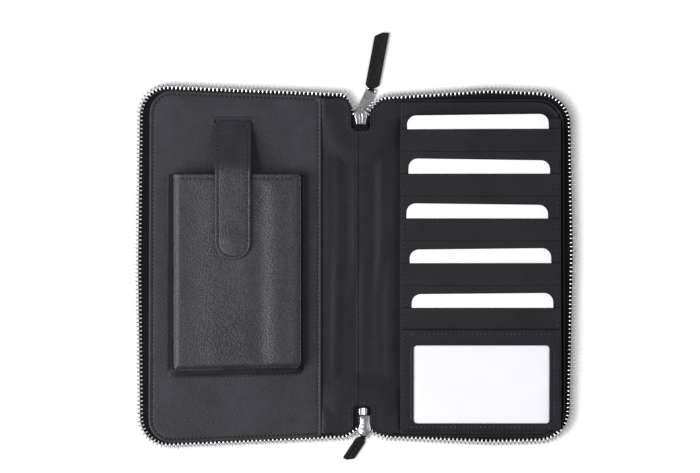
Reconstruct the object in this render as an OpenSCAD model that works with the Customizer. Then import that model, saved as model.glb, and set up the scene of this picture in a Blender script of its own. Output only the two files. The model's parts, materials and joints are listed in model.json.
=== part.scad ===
// Travel document organizer: a zip-around leather wallet, lying open and flat.
// Units are millimetres. +X points to the card side, +Y to the top edge, +Z up from the table.
// The origin is on the underside of the spine, half-way between the top and bottom edges.

/* [Covers] */
// Left fold line, where the left cover meets the spine
left_hinge_x = -13.5; // [-14.5:0.5:-13]
// Right fold line, where the right cover meets the spine
right_hinge_x = 11.5; // [11:0.5:12.5]
// Outer edge of the left cover's leather
left_cover_x = -128; // [-129:0.5:-127]
// Outer edge of the right cover's leather
right_cover_x = 122.5; // [121.5:0.5:123.5]
// Half height of the covers' leather beside the spine
cover_half_h = 101.5; // [100:0.5:102]
// Corner radius of the covers
cover_corner_r = 14; // [10:1:16]

/* [Layers] */
// Thickness of the outer leather
outer_t = 1.2; // [1:0.1:1.2]
// Thickness of the stiffener boards
board_t = 1.0; // [0.8:0.1:1]
// Thickness of the lining leather
lining_t = 0.6; // [0.4:0.1:0.6]
// Thickness of the zip tape with its seam allowance
tape_t = 0.8; // [0.6:0.1:0.8]
// Thickness of the panels inside the covers
panel_t = 0.8; // [0.6:0.1:0.8]

/* [Zip] */
// Distance between neighbouring teeth
tooth_pitch = 2.5; // [2.2:0.1:3]
// Length of a tooth, outwards from the tape
tooth_l = 2.3; // [1.8:0.1:2.4]
// Width of a tooth along the tape
tooth_w = 1.25; // [1:0.05:1.4]
// Height of a tooth
tooth_h = 1.8; // [1.4:0.1:1.9]
// Overall length of a slider
slider_l = 12.2; // [11:0.1:13]
// Width of a slider across its shoulders
slider_w = 7.4; // [7:0.1:7.6]

/* [Phone pocket] */
// Left side of the pocket where it is sewn to the panel
pocket_left = -117.6; // [-119:0.2:-116]
// Right side of the pocket where it is sewn to the panel
pocket_right = -34.7; // [-36:0.1:-34]
// Bottom of the pocket where it is sewn to the panel
pocket_bottom = -67.5; // [-70:0.5:-65]
// Mouth of the pocket
pocket_top = 55.8; // [54:0.2:57]
// Clear depth inside the pocket
pocket_depth = 8.5; // [6:0.5:9]
// Thickness of the pocket's leather
pocket_t = 1.0; // [0.8:0.1:1]

/* [Closure strap] */
// Width of the strap
strap_w = 21.6; // [20:0.2:23]
// Middle of the strap
strap_x = -76.8; // [-78:0.2:-75]
// Place of the slit that the strap comes out of
strap_slit_y = 87.2; // [86:0.2:89]
// Tip of the strap
strap_tip_y = 3.9; // [0:0.3:8]

/* [Card slots] */
// Mouth of the top slot
first_mouth_y = 82.7; // [81:0.1:83]
// Distance from one slot to the next
slot_pitch = 27.05; // [26.8:0.05:27.3]
// Lean of the slots, which stacks each one on the one above it
slot_lean = 4.1; // [4.05:0.05:4.3]
// Length of a card that shows above its mouth
card_shows = 9; // [6:0.5:10]

/* [Pulls] */
// Length of the top pull's metal link
top_link_l = 15.6; // [12:0.1:18]
// Length of the bottom pull's metal link
bottom_link_l = 3.5; // [3.5:0.1:4]
// Width of the leather pull tabs
tab_w = 8.4; // [7:0.1:9]
// Length of the top pull tab
top_tab_l = 35.8; // [30:0.1:38]
// Length of the bottom pull tab
bottom_tab_l = 17.5; // [15:0.1:18]

/* [Hidden] */
$fn = 48;

outer_leather = [0.13, 0.12, 0.14];
inner_leather = [0.24, 0.23, 0.26];
dark_leather = [0.18, 0.17, 0.19];
tape_black = [0.07, 0.07, 0.08];
nickel = [0.80, 0.80, 0.82];
card_white = [0.95, 0.95, 0.96];

// Heights of the layers, counted up from the table
board_z = outer_t;
lining_z = board_z + board_t;
tape_z = lining_z + lining_t;
panel_z = tape_z + tape_t;
panel_top = panel_z + panel_t;
tooth_mid_z = tape_z + tape_t / 2;

// Gaps
fold_gap = 0.3;          // from the outer leather to a fold line
fold_clear = 2.5;        // from the inner layers to a fold line, so that the fold can close
tooth_gap = 0.02;        // from a tooth to the tape's edge

// ---- Outlines: corners are [x, y, radius] ----

function unit(v) = v / norm(v);
function turned(v, a) = [v[0] * cos(a) - v[1] * sin(a), v[0] * sin(a) + v[1] * cos(a)];

// The points of one rounded corner, from the corners before and after it
function corner_points(before, corner, after) =
    let (
        b = [corner[0], corner[1]], r = corner[2],
        u = unit([before[0], before[1]] - b), w = unit([after[0], after[1]] - b),
        inside = acos(max(-1, min(1, u * w))), sweep = 180 - inside,
        side = u[0] * w[1] - u[1] * w[0] > 0 ? -1 : 1,
        centre = b + unit(u + w) * r / sin(inside / 2),
        start = b + u * r / tan(inside / 2) - centre,
        steps = max(1, ceil(sweep / 7))
    )
    r == 0 ? [b] : [for (k = [0:steps]) centre + turned(start, side * sweep * k / steps)];

function rounded_loop(c) =
    let (n = len(c))
    [for (i = [0:n - 1]) each corner_points(c[(i + n - 1) % n], c[i], c[(i + 1) % n])];

function rounded_path(c) =
    let (n = len(c))
    [for (i = [0:n - 1])
        each (i == 0 || i == n - 1 ? [[c[i][0], c[i][1]]]
                                   : corner_points(c[i - 1], c[i], c[i + 1]))];

// Edge of the zip tape, where the teeth stand: out of the top slider, round the cover,
// and back into the bottom slider
left_zip_edge = rounded_path([
    [-2.6, 91.5, 0], [-8.9, 104.2, 4], [-133.2, 109.2, 17], [-134.4, 0, 300],
    [-133, -109.4, 17], [-8.6, -103.8, 8], [-0.9, -98.6, 0]]);
right_zip_edge = rounded_path([
    [3.9, 91.2, 0], [11.8, 101.9, 9], [79, 106.4, 150], [127.2, 104.2, 19], [129, 10, 300],
    [126.6, -105.2, 19], [79, -106.6, 150], [14, -103.6, 16], [6, -99.6, 0]]);

left_panel_corners = [
    [-23.3, 103.2, 1], [-127.6, 107, 14], [-128.4, -107.6, 14], [-23.3, -103.8, 1]];
right_panel_corners = [
    [24.5, 99.7, 1], [24.5, -102.1, 1], [122.4, -102.1, 14], [121.4, 99.7, 14]];

module plate(corners, z, t) {
    translate([0, 0, z]) linear_extrude(t) polygon(rounded_loop(corners));
}

module block(low, high) {
    translate(low) cube(high - low);
}

// ---- Spine ----

spine_half_h = 76;           // the outer leather stops short of the sliders
spine_in = 0.3;
binding_in = 1;              // from a fold line to the notch bindings
binding_foot_y = 70;
top_slider_at = [0.5, 89];
bottom_slider_at = [2.9, -96.8];
slider_clear = 0.25;

module spine_sheet(z, t, inset) {
    block([left_hinge_x + inset, -spine_half_h, z], [right_hinge_x - inset, spine_half_h, z + t]);
}

module spine_cover() {
    color(outer_leather) spine_sheet(0, outer_t, fold_gap);
}

module spine_filler() {
    color("dimgray") spine_sheet(board_z, board_t - 0.2, spine_in + 1);
}

module spine_lining() {
    color(dark_leather) spine_sheet(tape_z - 0.8, 0.8, spine_in);
}

// A leather facing round a notch: notch = [left, right, inner end], ends = Y at the outer
// edge beside the left fold, beside the notch on each side, and beside the right fold
module notch_binding(side, notch, ends) {
    x0 = left_hinge_x + binding_in;
    x1 = right_hinge_x - binding_in;
    foot_l = spine_half_h - 0.5 - binding_foot_y;
    shape = [
        [x0, binding_foot_y], [x0, ends[0]], [notch[0], ends[1]], [notch[0], notch[2] + 2.5],
        [notch[0] + 2.5, notch[2]], [notch[1] - 2.5, notch[2]], [notch[1], notch[2] + 2.5],
        [notch[1], ends[2]], [x1, ends[3]], [x1, binding_foot_y]];
    color(dark_leather) {
        translate([0, 0, panel_z])
            linear_extrude(panel_t) polygon([for (p = shape) [p[0], side * p[1]]]);
        translate([x0, side * (binding_foot_y + foot_l / 2) - foot_l / 2, tape_z])
            cube([x1 - x0, foot_l, tape_t]);
    }
}

module top_notch_binding() {
    notch_binding(1, [-5.6, 6.4, 82.7], [102.9, 96.3, 93.6, 98.9]);
}

module bottom_notch_binding() {
    notch_binding(-1, [-4.2, 7.3, 84.6], [102.8, 99.8, 99.4, 100.8]);
}

// The sewn-in end of the tape, which fills the notch round the slider
module tape_end(side, slider_at, shape) {
    w = slider_w + 2 * slider_clear;
    color(tape_black) difference() {
        translate([0, 0, tape_z]) linear_extrude(tape_t)
            polygon([for (p = shape) [p[0], side * p[1]]]);
        translate([slider_at[0] - w / 2, slider_at[1] - slider_l / 2 - slider_clear, tape_z - 1])
            cube([w, slider_l + 2 * slider_clear, tape_t + 2]);
    }
}

module top_tape_end() {
    tape_end(1, top_slider_at, [
        [left_hinge_x + binding_in, spine_half_h], [right_hinge_x - binding_in, spine_half_h],
        [right_hinge_x - binding_in, 99.6], [3.9, 91], [0.5, 86], [-2.6, 91.3], [-8.1, 101.9],
        [-9.5, 103.4], [left_hinge_x + binding_in, 104.1]]);
}

module bottom_tape_end() {
    tape_end(-1, bottom_slider_at, [
        [left_hinge_x + binding_in, spine_half_h], [right_hinge_x - binding_in, spine_half_h],
        [right_hinge_x - binding_in, 101.6], [6.2, 99.4], [2.9, 93], [-0.9, 98.3],
        [-8.5, 103.2], [left_hinge_x + binding_in, 103.6]]);
}

// ---- Zip teeth ----

function lengths(path) = [for (i = [0:len(path) - 2]) norm(path[i + 1] - path[i])];
function distances(path) =
    let (seg = lengths(path))
    [for (i = 0, t = 0; i < len(path); t = t + (i < len(seg) ? seg[i] : 0), i = i + 1) t];

// [x, y, heading] at the given distance along a path
function along(path, d, s) =
    let (
        hits = [for (i = [0:len(path) - 2]) if (d[i] <= s && s < d[i + 1]) i],
        i = hits[0], step = path[i + 1] - path[i], p = path[i] + unit(step) * (s - d[i])
    )
    [p[0], p[1], atan2(step[1], step[0])];

function tooth_places(path) =
    let (d = distances(path), total = d[len(d) - 1])
    [for (s = [tooth_pitch / 2:tooth_pitch:total - 0.5]) along(path, d, s)];

// outward is -1 where the teeth stand to the right of the path's heading, +1 to its left
module tooth_row(path, outward, low_x, high_x) {
    y0 = outward > 0 ? tooth_gap : -tooth_gap - tooth_l;
    for (p = tooth_places(path))
        if (p[0] >= low_x && p[0] < high_x)
            translate([p[0], p[1], tooth_mid_z - tooth_h / 2]) rotate([0, 0, p[2]])
                translate([-tooth_w / 2, y0, 0]) cube([tooth_w, tooth_l, tooth_h]);
}

tooth_split = 3.5;           // the spine's teeth reach this far past each fold line
tape_clear = 5;              // from a fold line to a cover's tape, past the spine's last tooth

module spine_zip_teeth() {
    color(nickel) {
        tooth_row(left_zip_edge, -1, left_hinge_x - tooth_split, 0);
        tooth_row(right_zip_edge, 1, 0, right_hinge_x + tooth_split);
    }
}

module left_zip_teeth() {
    color(nickel) tooth_row(left_zip_edge, -1, -200, left_hinge_x - tooth_split);
}

module right_zip_teeth() {
    color(nickel) tooth_row(right_zip_edge, 1, right_hinge_x + tooth_split, 200);
}

// ---- Sliders and stop ----

slider_plate_t = 0.7;
slider_neck_w = 5.6;
slider_low_z = tooth_mid_z - tooth_h / 2 - 0.1 - slider_plate_t;
slider_high_z = tooth_mid_z + tooth_h / 2 + 0.1;
link_t = 0.65;
link_z = 0.725;              // underside of both links
bail_t = 0.4;
bail_w = 1.6;
bail_in = 0.9;

// Plan of a slider's plate, shoulders towards +Y
module slider_plan() {
    r = slider_w / 2;
    y1 = slider_l / 2 - r;
    translate([0, y1]) circle(r);
    polygon([
        [-slider_neck_w / 2, -slider_l / 2], [slider_neck_w / 2, -slider_l / 2],
        [slider_neck_w / 2, -slider_l / 6], [r * 0.98, y1 - 0.7], [-r * 0.98, y1 - 0.7],
        [-slider_neck_w / 2, -slider_l / 6]]);
}

module slider(slit) {
    color(nickel) {
        translate([0, 0, slider_low_z]) linear_extrude(slider_plate_t) slider_plan();
        difference() {
            translate([0, 0, slider_high_z]) linear_extrude(slider_plate_t) slider_plan();
            if (slit) translate([-0.55, -2.8, slider_high_z - 1]) cube([1.1, 6, 3]);
        }
        // the post that spreads the teeth
        translate([-1, slider_l / 2 - 3, slider_low_z])
            cube([2, 2.4, slider_high_z - slider_low_z + slider_plate_t / 2]);
        // the bail that holds the pull, on the outside of the wallet
        for (y = [-slider_l / 2 + bail_in, slider_l / 2 - bail_in - 0.6])
            translate([-bail_w / 2, y, 0.2]) cube([bail_w, 0.6, slider_low_z - 0.2 + 0.1]);
        translate([-bail_w / 2, -slider_l / 2 + bail_in, 0.2])
            cube([bail_w, slider_l - 2 * bail_in, bail_t]);
    }
}

module top_slider() {
    translate([top_slider_at[0], top_slider_at[1], 0]) slider(true);
}

module bottom_slider() {
    translate([bottom_slider_at[0], bottom_slider_at[1], 0]) rotate([0, 0, 180]) slider(false);
}

module bottom_stop() {
    color(nickel) block([-0.6, -90.3, tape_z + tape_t + 0.02], [4.3, -85.9, panel_top + 0.5]);
}

// ---- Pulls: built along +Y from the bail ----

top_bail_at = [0.5, 92.8];
top_link_turn = -24.5;
top_tab_turn = -10.7;
bottom_bail_at = [2.9, -100.2];
bottom_link_turn = 160;
bottom_tab_turn = 146.5;
pivot_z = link_z + link_t / 2;
bar_half = 0.42;             // half the thickness of the link's cross-bar
loop_r = 0.95;
loop_bore_r = 0.5;
tab_t = 1.2;

link_w = 6.4;
link_side_w = 1.3;
link_eye_l = 3.2;
fork_w = 0.8;
fork_l = 1.2;
foot_bar_r = 0.4;

// A flat link: a foot bar inside the bail, an eye, a plate, and a fork with a cross-bar
module pull_link(length) {
    color(nickel) {
        translate([0, 0, link_z]) linear_extrude(link_t) difference() {
            translate([-link_w / 2, 0]) square([link_w, length - fork_l + 0.1]);
            translate([-link_w / 2 + link_side_w, -1])
                square([link_w - 2 * link_side_w, link_eye_l + 1]);
        }
        for (x = [-link_w / 2, link_w / 2 - fork_w])
            translate([x, length - fork_l, link_z]) cube([fork_w, fork_l + 0.3, link_t]);
        for (bar = [[0, foot_bar_r], [length, bar_half]])
            translate([0, bar[0], pivot_z]) rotate([0, 90, 0])
                cylinder(r = bar[1], h = link_w, center = true, $fn = 24);
    }
}

fold_w = 3.4;

// A leather tab folded over the link's cross-bar, with a slanted tip; turn is in plan,
// from the cross-bar's own direction
module pull_tab(length, turn) {
    w = tab_w / 2;
    color(outer_leather) {
        translate([0, 0, pivot_z]) rotate([0, 90, 0]) difference() {
            cylinder(r = loop_r, h = fold_w, center = true, $fn = 32);
            cylinder(r = loop_bore_r, h = fold_w + 1, center = true, $fn = 32);
        }
        translate([0, 0, pivot_z - loop_r]) linear_extrude(tab_t) union() {
            translate([-fold_w / 2, loop_bore_r + 0.15]) square([fold_w, 1.4]);
            rotate([0, 0, turn]) polygon([
                [-fold_w / 2, 1], [fold_w / 2, 1], [w, 3.4], [w, length], [0.3, length - 0.4],
                [-w, length - 3.4], [-w, 3.4]]);
        }
    }
}

module at_turn(at, turn) {
    translate([at[0], at[1], 0]) rotate([0, 0, turn]) children();
}

function link_head(at, turn, length) = at + turned([0, length], turn);

module top_pull_link() {
    at_turn(top_bail_at, top_link_turn) pull_link(top_link_l);
}

module top_pull_tab() {
    at_turn(link_head(top_bail_at, top_link_turn, top_link_l), top_link_turn)
        pull_tab(top_tab_l, top_tab_turn - top_link_turn);
}

module bottom_pull_link() {
    at_turn(bottom_bail_at, bottom_link_turn) pull_link(bottom_link_l);
}

module bottom_pull_tab() {
    at_turn(link_head(bottom_bail_at, bottom_link_turn, bottom_link_l), bottom_link_turn)
        pull_tab(bottom_tab_l, bottom_tab_turn - bottom_link_turn);
}

// ---- Left cover ----

module left_cover_leather() {
    x = left_hinge_x - fold_gap;
    color(outer_leather) plate([
        [x, cover_half_h, 11], [left_cover_x, cover_half_h + 4, cover_corner_r],
        [left_cover_x, -cover_half_h - 4.5, cover_corner_r], [x, -cover_half_h, 11]], 0, outer_t);
}

module left_inner_sheet(z, t, inset) {
    x = left_hinge_x - fold_clear;
    plate([
        [x, cover_half_h - inset, 11], [left_cover_x + inset, cover_half_h + 4 - inset, 13],
        [left_cover_x + inset, -cover_half_h - 4.5 + inset, 13],
        [x, -cover_half_h + inset, 11]], z, t);
}

module left_board() {
    color("gray") left_inner_sheet(board_z, board_t, 3);
}

module left_lining() {
    color(dark_leather) left_inner_sheet(lining_z, lining_t, 1);
}

module left_zip_tape() {
    x = left_hinge_x - tape_clear;
    color(tape_black) translate([0, 0, tape_z]) linear_extrude(tape_t) difference() {
        intersection() {
            polygon(left_zip_edge);
            translate([x - 200, -150]) square([200, 300]);
        }
        polygon(rounded_loop([
            [x + 20, 97, 0], [left_cover_x + 7, 99, 8], [left_cover_x + 7, -100, 8],
            [x + 20, -97, 0]]));
    }
}

module left_panel() {
    color(inner_leather) difference() {
        plate(left_panel_corners, panel_z, panel_t);
        block([strap_x - strap_w / 2 - 0.5, strap_slit_y - 0.6, panel_z - 1],
              [strap_x + strap_w / 2 + 0.5, strap_slit_y + 1, panel_top + 1]);
    }
}

module strap_anchor() {
    color(inner_leather) block([strap_x - strap_w / 2, strap_slit_y - 3, tape_z + 0.05],
                               [strap_x + strap_w / 2, 96, panel_z - 0.05]);
}

// ---- Phone pocket ----

pocket_lean = 3.4;           // each side leans in by this much from the panel to the face
pocket_face_z = panel_top + pocket_depth;
pocket_face_top = pocket_face_z + pocket_t;
face_left = pocket_left + pocket_lean;
face_right = pocket_right - pocket_lean + 0.6;
face_bottom = pocket_bottom + pocket_lean + 2;
gusset_t = 0.9;

module pocket_face() {
    color(inner_leather) plate([
        [face_left, pocket_top, 2], [face_right, pocket_top, 2],
        [face_right, face_bottom, 5], [face_left, face_bottom, 5]], pocket_face_z, pocket_t);
}

module pocket_left_gusset() {
    color(dark_leather)
        translate([pocket_left, pocket_top, panel_top]) gusset_wall(face_left - pocket_left,
            pocket_top - face_bottom - 3);
}

module pocket_right_gusset() {
    color(dark_leather)
        translate([pocket_right, pocket_top, panel_top]) mirror([1, 0, 0])
            gusset_wall(pocket_right - face_right, pocket_top - face_bottom - 3);
}

module pocket_bottom_gusset() {
    color(dark_leather)
        translate([face_right - 4, pocket_bottom, panel_top]) rotate([0, 0, 90])
            gusset_wall(face_bottom - pocket_bottom, face_right - face_left - 8, true);
}

// A wall that leans in by lean as it rises to the face; it runs along -Y, or along +Y if flipped
module gusset_wall(lean, length, flipped = false) {
    run = flipped ? -length : 0;
    rotate([90, 0, 0]) translate([0, 0, run]) linear_extrude(length) polygon([
        [0, 0], [gusset_t + 0.6, 0], [lean + gusset_t, pocket_depth], [lean, pocket_depth]]);
}

snap_at = [strap_x, 15.5];
snap_r = 6.5;

module snap_socket() {
    color(nickel) translate([snap_at[0], snap_at[1], pocket_face_top]) difference() {
        cylinder(r = snap_r, h = 0.6);
        translate([0, 0, 0.2]) cylinder(r = 2.6, h = 1);
    }
}

module pocket_magnet() {
    color("silver") translate([snap_at[0], snap_at[1], pocket_face_z - 1.2])
        cylinder(r = snap_r, h = 1.2);
}

// ---- Closure strap ----

strap_pivot_z = panel_top + 0.6;
strap_flat_z = pocket_face_top + 1.4;
strap_lining_t = 0.6;
strap_outer_t = 0.9;

// A ply of the strap: up from the slit, over the pocket's mouth, to a round tip
module strap_ply(low, high) {
    y0 = strap_slit_y - 0.3;
    y1 = pocket_top + 1.8;
    z0 = strap_pivot_z - 0.3;
    color(inner_leather) intersection() {
        translate([strap_x - strap_w / 2, 0, 0]) rotate([90, 0, 90]) linear_extrude(strap_w)
            polygon([
                [y0, z0 + low], [y1, strap_flat_z + low], [strap_tip_y, strap_flat_z + low],
                [strap_tip_y, strap_flat_z + high], [y1, strap_flat_z + high], [y0, z0 + high]]);
        linear_extrude(60) union() {
            translate([strap_x, strap_tip_y + strap_w / 2]) circle(strap_w / 2);
            translate([strap_x - strap_w / 2, strap_tip_y + strap_w / 2])
                square([strap_w, strap_slit_y - strap_tip_y]);
        }
    }
}

module strap_lining() {
    strap_ply(0, strap_lining_t);
}

module strap_outer() {
    strap_ply(strap_lining_t, strap_lining_t + strap_outer_t);
}

module snap_stud() {
    color(nickel) translate([snap_at[0], snap_at[1], strap_flat_z - 0.5])
        cylinder(r = snap_r, h = 0.5);
}

// ---- Right cover ----

module right_cover_leather() {
    x = right_hinge_x + fold_gap;
    color(outer_leather) plate([
        [right_cover_x, cover_half_h, cover_corner_r], [x, cover_half_h, 11],
        [x, -cover_half_h, 11], [right_cover_x, -cover_half_h - 1, cover_corner_r]], 0, outer_t);
}

module right_inner_sheet(z, t, inset) {
    x = right_hinge_x + fold_clear;
    plate([
        [right_cover_x - inset, cover_half_h - inset, 13], [x, cover_half_h - inset, 11],
        [x, -cover_half_h + inset, 11],
        [right_cover_x - inset, -cover_half_h - 1 + inset, 13]], z, t);
}

module right_board() {
    color("gray") right_inner_sheet(board_z, board_t, 3);
}

module right_lining() {
    color(dark_leather) right_inner_sheet(lining_z, lining_t, 1);
}

module right_zip_tape() {
    x = right_hinge_x + tape_clear;
    color(tape_black) translate([0, 0, tape_z]) linear_extrude(tape_t) difference() {
        intersection() {
            polygon(right_zip_edge);
            translate([x, -150]) square([200, 300]);
        }
        polygon(rounded_loop([
            [right_cover_x - 7, 93, 8], [x - 20, 93, 0], [x - 20, -95, 0],
            [right_cover_x - 7, -95, 8]]));
    }
}

module right_panel() {
    color(inner_leather) plate(right_panel_corners, panel_z, panel_t);
}

// ---- Card slots: each is a pocket of two plies, leaning up towards its mouth ----

card_w = 85.6;
card_h = 53.98;
card_t = 0.76;
card_r = 5.5;
back_ply_t = 0.45;
front_ply_t = 0.40;
card_low = 0.6;              // height of a card above its back ply's underside
front_low = 1.5;
slot_left = 24.5;
slot_right = 121.6;
seam_left = 27;
seam_right = 118.2;
seam_foot = 0.8;
card_foot = 0.9;
slot_z = panel_top + 0.07;
card_reach = card_h + card_foot;
mouth_reach = card_reach - card_shows;
back_reach = card_reach + 5.2;
first_back_reach = card_reach - 2;

// Left edge of each card, and its small turn in its slot
card_x = [28.8, 29.1, 27.9, 30.3, 31.5];
card_turn = [0.7, -0.8, -0.7, 0.6, 0.5];

// Number 6 is the window pocket
function slot_foot_y(number) =
    first_mouth_y - slot_pitch * (number - 1) - mouth_reach * cos(slot_lean);

module in_slot(number) {
    translate([0, slot_foot_y(number), slot_z]) rotate([slot_lean, 0, 0]) children();
}

module slot_back(number) {
    reach = number == 1 ? first_back_reach : back_reach;
    color(inner_leather) in_slot(number)
        block([slot_left, -seam_foot, 0], [slot_right, reach, back_ply_t]);
}

module slot_front(number) {
    color(inner_leather) in_slot(number)
        block([slot_left, -seam_foot, front_low],
              [slot_right, mouth_reach, front_low + front_ply_t]);
}

module slot_seams() {
    color(dark_leather) for (number = [1:5]) in_slot(number) {
        block([slot_left, -seam_foot, back_ply_t], [seam_left, mouth_reach, front_low]);
        block([seam_right, -seam_foot, back_ply_t], [slot_right, mouth_reach, front_low]);
        block([seam_left, -seam_foot, back_ply_t], [seam_right, 0, front_low]);
    }
}

module rounded_card() {
    w = card_w / 2;
    h = card_h / 2;
    linear_extrude(card_t) polygon(rounded_loop([
        [w, h, card_r], [-w, h, card_r], [-w, -h, card_r], [w, -h, card_r]]));
}

module slot_card(number) {
    color(card_white) in_slot(number)
        translate([card_x[number - 1] + card_w / 2, card_foot + card_h / 2, card_low])
            rotate([0, 0, card_turn[number - 1]]) rounded_card();
}

// ---- Window pocket ----

window_left = 32.4;
window_right = 114.5;
window_low = 3.2;
window_high = 50.5;
film_t = 0.15;
frame_t = 0.55;

module window_back() {
    color(inner_leather) in_slot(6)
        block([slot_left, -seam_foot, 0], [slot_right, back_reach - 2.5, back_ply_t]);
}

module window_film() {
    color([0.9, 0.95, 1, 0.3]) in_slot(6)
        block([seam_left, 0.2, front_low], [seam_right, window_high + 4, front_low + film_t]);
}

module window_frame() {
    low = front_low + film_t;
    color(inner_leather) in_slot(6) {
        difference() {
            block([slot_left, -seam_foot, low], [slot_right, back_reach, low + frame_t]);
            block([window_left, window_low, low - 1], [window_right, window_high, low + 2]);
        }
        for (side = [[slot_left, seam_left - 0.05], [seam_right + 0.05, slot_right]])
            block([side[0], -seam_foot, back_ply_t], [side[1], back_reach - 3, low + 0.1]);
    }
}

module id_insert() {
    color(card_white) in_slot(6)
        translate([30.4 + card_w / 2, card_foot + card_h / 2, card_low]) rounded_card();
}

spine_cover();
spine_filler();
spine_lining();
top_notch_binding();
bottom_notch_binding();
top_tape_end();
bottom_tape_end();
spine_zip_teeth();
top_slider();
bottom_slider();
bottom_stop();
left_cover_leather();
left_board();
left_lining();
left_zip_tape();
left_zip_teeth();
left_panel();
strap_anchor();
pocket_face();
pocket_left_gusset();
pocket_right_gusset();
pocket_bottom_gusset();
snap_socket();
pocket_magnet();
strap_outer();
strap_lining();
snap_stud();
right_cover_leather();
right_board();
right_lining();
right_zip_tape();
right_zip_teeth();
right_panel();
slot_back(1);  // slot_back_1
slot_back(2);  // slot_back_2
slot_back(3);  // slot_back_3
slot_back(4);  // slot_back_4
slot_back(5);  // slot_back_5
slot_front(1);  // slot_front_1
slot_front(2);  // slot_front_2
slot_front(3);  // slot_front_3
slot_front(4);  // slot_front_4
slot_front(5);  // slot_front_5
slot_seams();
window_back();
window_film();
window_frame();
slot_card(1);  // card_1
slot_card(2);  // card_2
slot_card(3);  // card_3
slot_card(4);  // card_4
slot_card(5);  // card_5
id_insert();
top_pull_link();
top_pull_tab();
bottom_pull_link();
bottom_pull_tab();
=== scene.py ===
"""Travel document organizer: leather, thread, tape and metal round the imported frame.

Lengths are millimetres, in the frame's own axes, and become metres when a mesh is made.
"""

import json
import math

import bmesh
import bpy
import numpy as np
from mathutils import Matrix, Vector, geometry


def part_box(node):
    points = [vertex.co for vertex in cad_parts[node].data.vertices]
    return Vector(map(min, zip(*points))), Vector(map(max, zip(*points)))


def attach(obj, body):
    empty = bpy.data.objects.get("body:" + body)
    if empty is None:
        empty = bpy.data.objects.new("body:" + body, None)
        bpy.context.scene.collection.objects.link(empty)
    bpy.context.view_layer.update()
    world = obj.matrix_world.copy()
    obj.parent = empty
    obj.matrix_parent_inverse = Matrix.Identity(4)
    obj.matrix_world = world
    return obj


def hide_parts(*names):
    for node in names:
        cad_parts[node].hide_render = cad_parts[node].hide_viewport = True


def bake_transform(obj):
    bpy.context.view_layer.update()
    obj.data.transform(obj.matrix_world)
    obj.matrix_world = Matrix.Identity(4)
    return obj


MM = 0.001

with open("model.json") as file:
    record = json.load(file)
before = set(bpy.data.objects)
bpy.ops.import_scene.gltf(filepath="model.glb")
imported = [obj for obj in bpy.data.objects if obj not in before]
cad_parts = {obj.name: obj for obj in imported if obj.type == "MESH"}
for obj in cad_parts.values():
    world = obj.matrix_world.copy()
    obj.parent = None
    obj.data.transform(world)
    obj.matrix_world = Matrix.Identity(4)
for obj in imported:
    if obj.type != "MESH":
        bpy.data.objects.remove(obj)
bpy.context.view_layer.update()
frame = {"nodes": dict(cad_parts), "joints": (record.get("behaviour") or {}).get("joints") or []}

# ---------------------------------------------------------------- places from the frame


def box_mm(node):
    low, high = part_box(node)
    return [v / MM for v in low], [v / MM for v in high]


JOINTS = {joint["name"]: joint for joint in frame["joints"]}


def joint_mm(name):
    return [v / MM for v in JOINTS[name]["pos_m"]]


LEFT_FOLD = joint_mm("left_fold")[0]
RIGHT_FOLD = joint_mm("right_fold")[0]
FOLD_HALF = 3.6  # half the width that bends at a fold
SPINE_MID = (LEFT_FOLD + RIGHT_FOLD) / 2
OUTER_T = box_mm("spine_cover")[1][2]
LINING_Z = box_mm("left_lining")[1][2]
TAPE_LOW, TAPE_HIGH = (box_mm("left_zip_tape")[k][2] for k in (0, 1))
PANEL_LOW, PANEL_TOP = (box_mm("left_panel")[k][2] for k in (0, 1))
TOOTH_LOW, TOOTH_HIGH = (box_mm("left_zip_teeth")[k][2] for k in (0, 1))

# Edges of the zip tape, where the teeth stand, and the panels' corners: [x, y, radius]
LEFT_EDGE = [
    (-2.6, 91.5, 0), (-8.9, 104.2, 4), (-133.2, 109.2, 17), (-134.4, 0, 300),
    (-133, -109.4, 17), (-8.6, -103.8, 8), (-0.9, -98.6, 0),
]
RIGHT_EDGE = [
    (3.9, 91.2, 0), (11.8, 101.9, 9), (79, 106.4, 150), (127.2, 104.2, 19), (129, 10, 300),
    (126.6, -105.2, 19), (79, -106.6, 150), (14, -103.6, 16), (6, -99.6, 0),
]
LEFT_PANEL = [(-23.3, 103.2, 1), (-127.6, 107, 14), (-128.4, -107.6, 14), (-23.3, -103.8, 1)]
RIGHT_PANEL = [(24.5, 99.7, 1), (24.5, -102.1, 1), (122.4, -102.1, 14), (121.4, 99.7, 14)]
EDGES = {"left": LEFT_EDGE, "right": RIGHT_EDGE}

# ---------------------------------------------------------------- paths and outlines


def unit(v):
    return v / np.linalg.norm(v)


def corner(before, at, after, radius, parts):
    """Points of a rounded corner between two straight edges."""
    at = np.array(at, float)
    if radius < 1e-6:
        return [at]
    a = unit(np.array(before, float) - at)
    b = unit(np.array(after, float) - at)
    half = math.acos(max(-1, min(1, a @ b))) / 2
    if math.pi / 2 - half < 1e-3:
        return [at]
    centre = at + unit(a + b) * radius / math.sin(half)
    start = at + a * radius / math.tan(half) - centre
    end = at + b * radius / math.tan(half) - centre
    span = math.atan2(start[0] * end[1] - start[1] * end[0], start @ end)
    turn = [span * k / parts for k in range(parts + 1)]
    return [
        centre + [start[0] * math.cos(t) - start[1] * math.sin(t),
                  start[0] * math.sin(t) + start[1] * math.cos(t)]
        for t in turn
    ]


def loop_area(loop):
    x, y = loop[:, 0], loop[:, 1]
    return float(np.sum(x * np.roll(y, -1) - y * np.roll(x, -1)) / 2)


def loop_of(corners, parts=10):
    """A closed outline through rounded corners, counter-clockwise."""
    n = len(corners)
    points = []
    for i, (x, y, r) in enumerate(corners):
        before, after = corners[i - 1][:2], corners[(i + 1) % n][:2]
        points += corner(before, (x, y), after, r, parts)
    points = np.array(points)
    return points if loop_area(points) > 0 else points[::-1]


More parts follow.
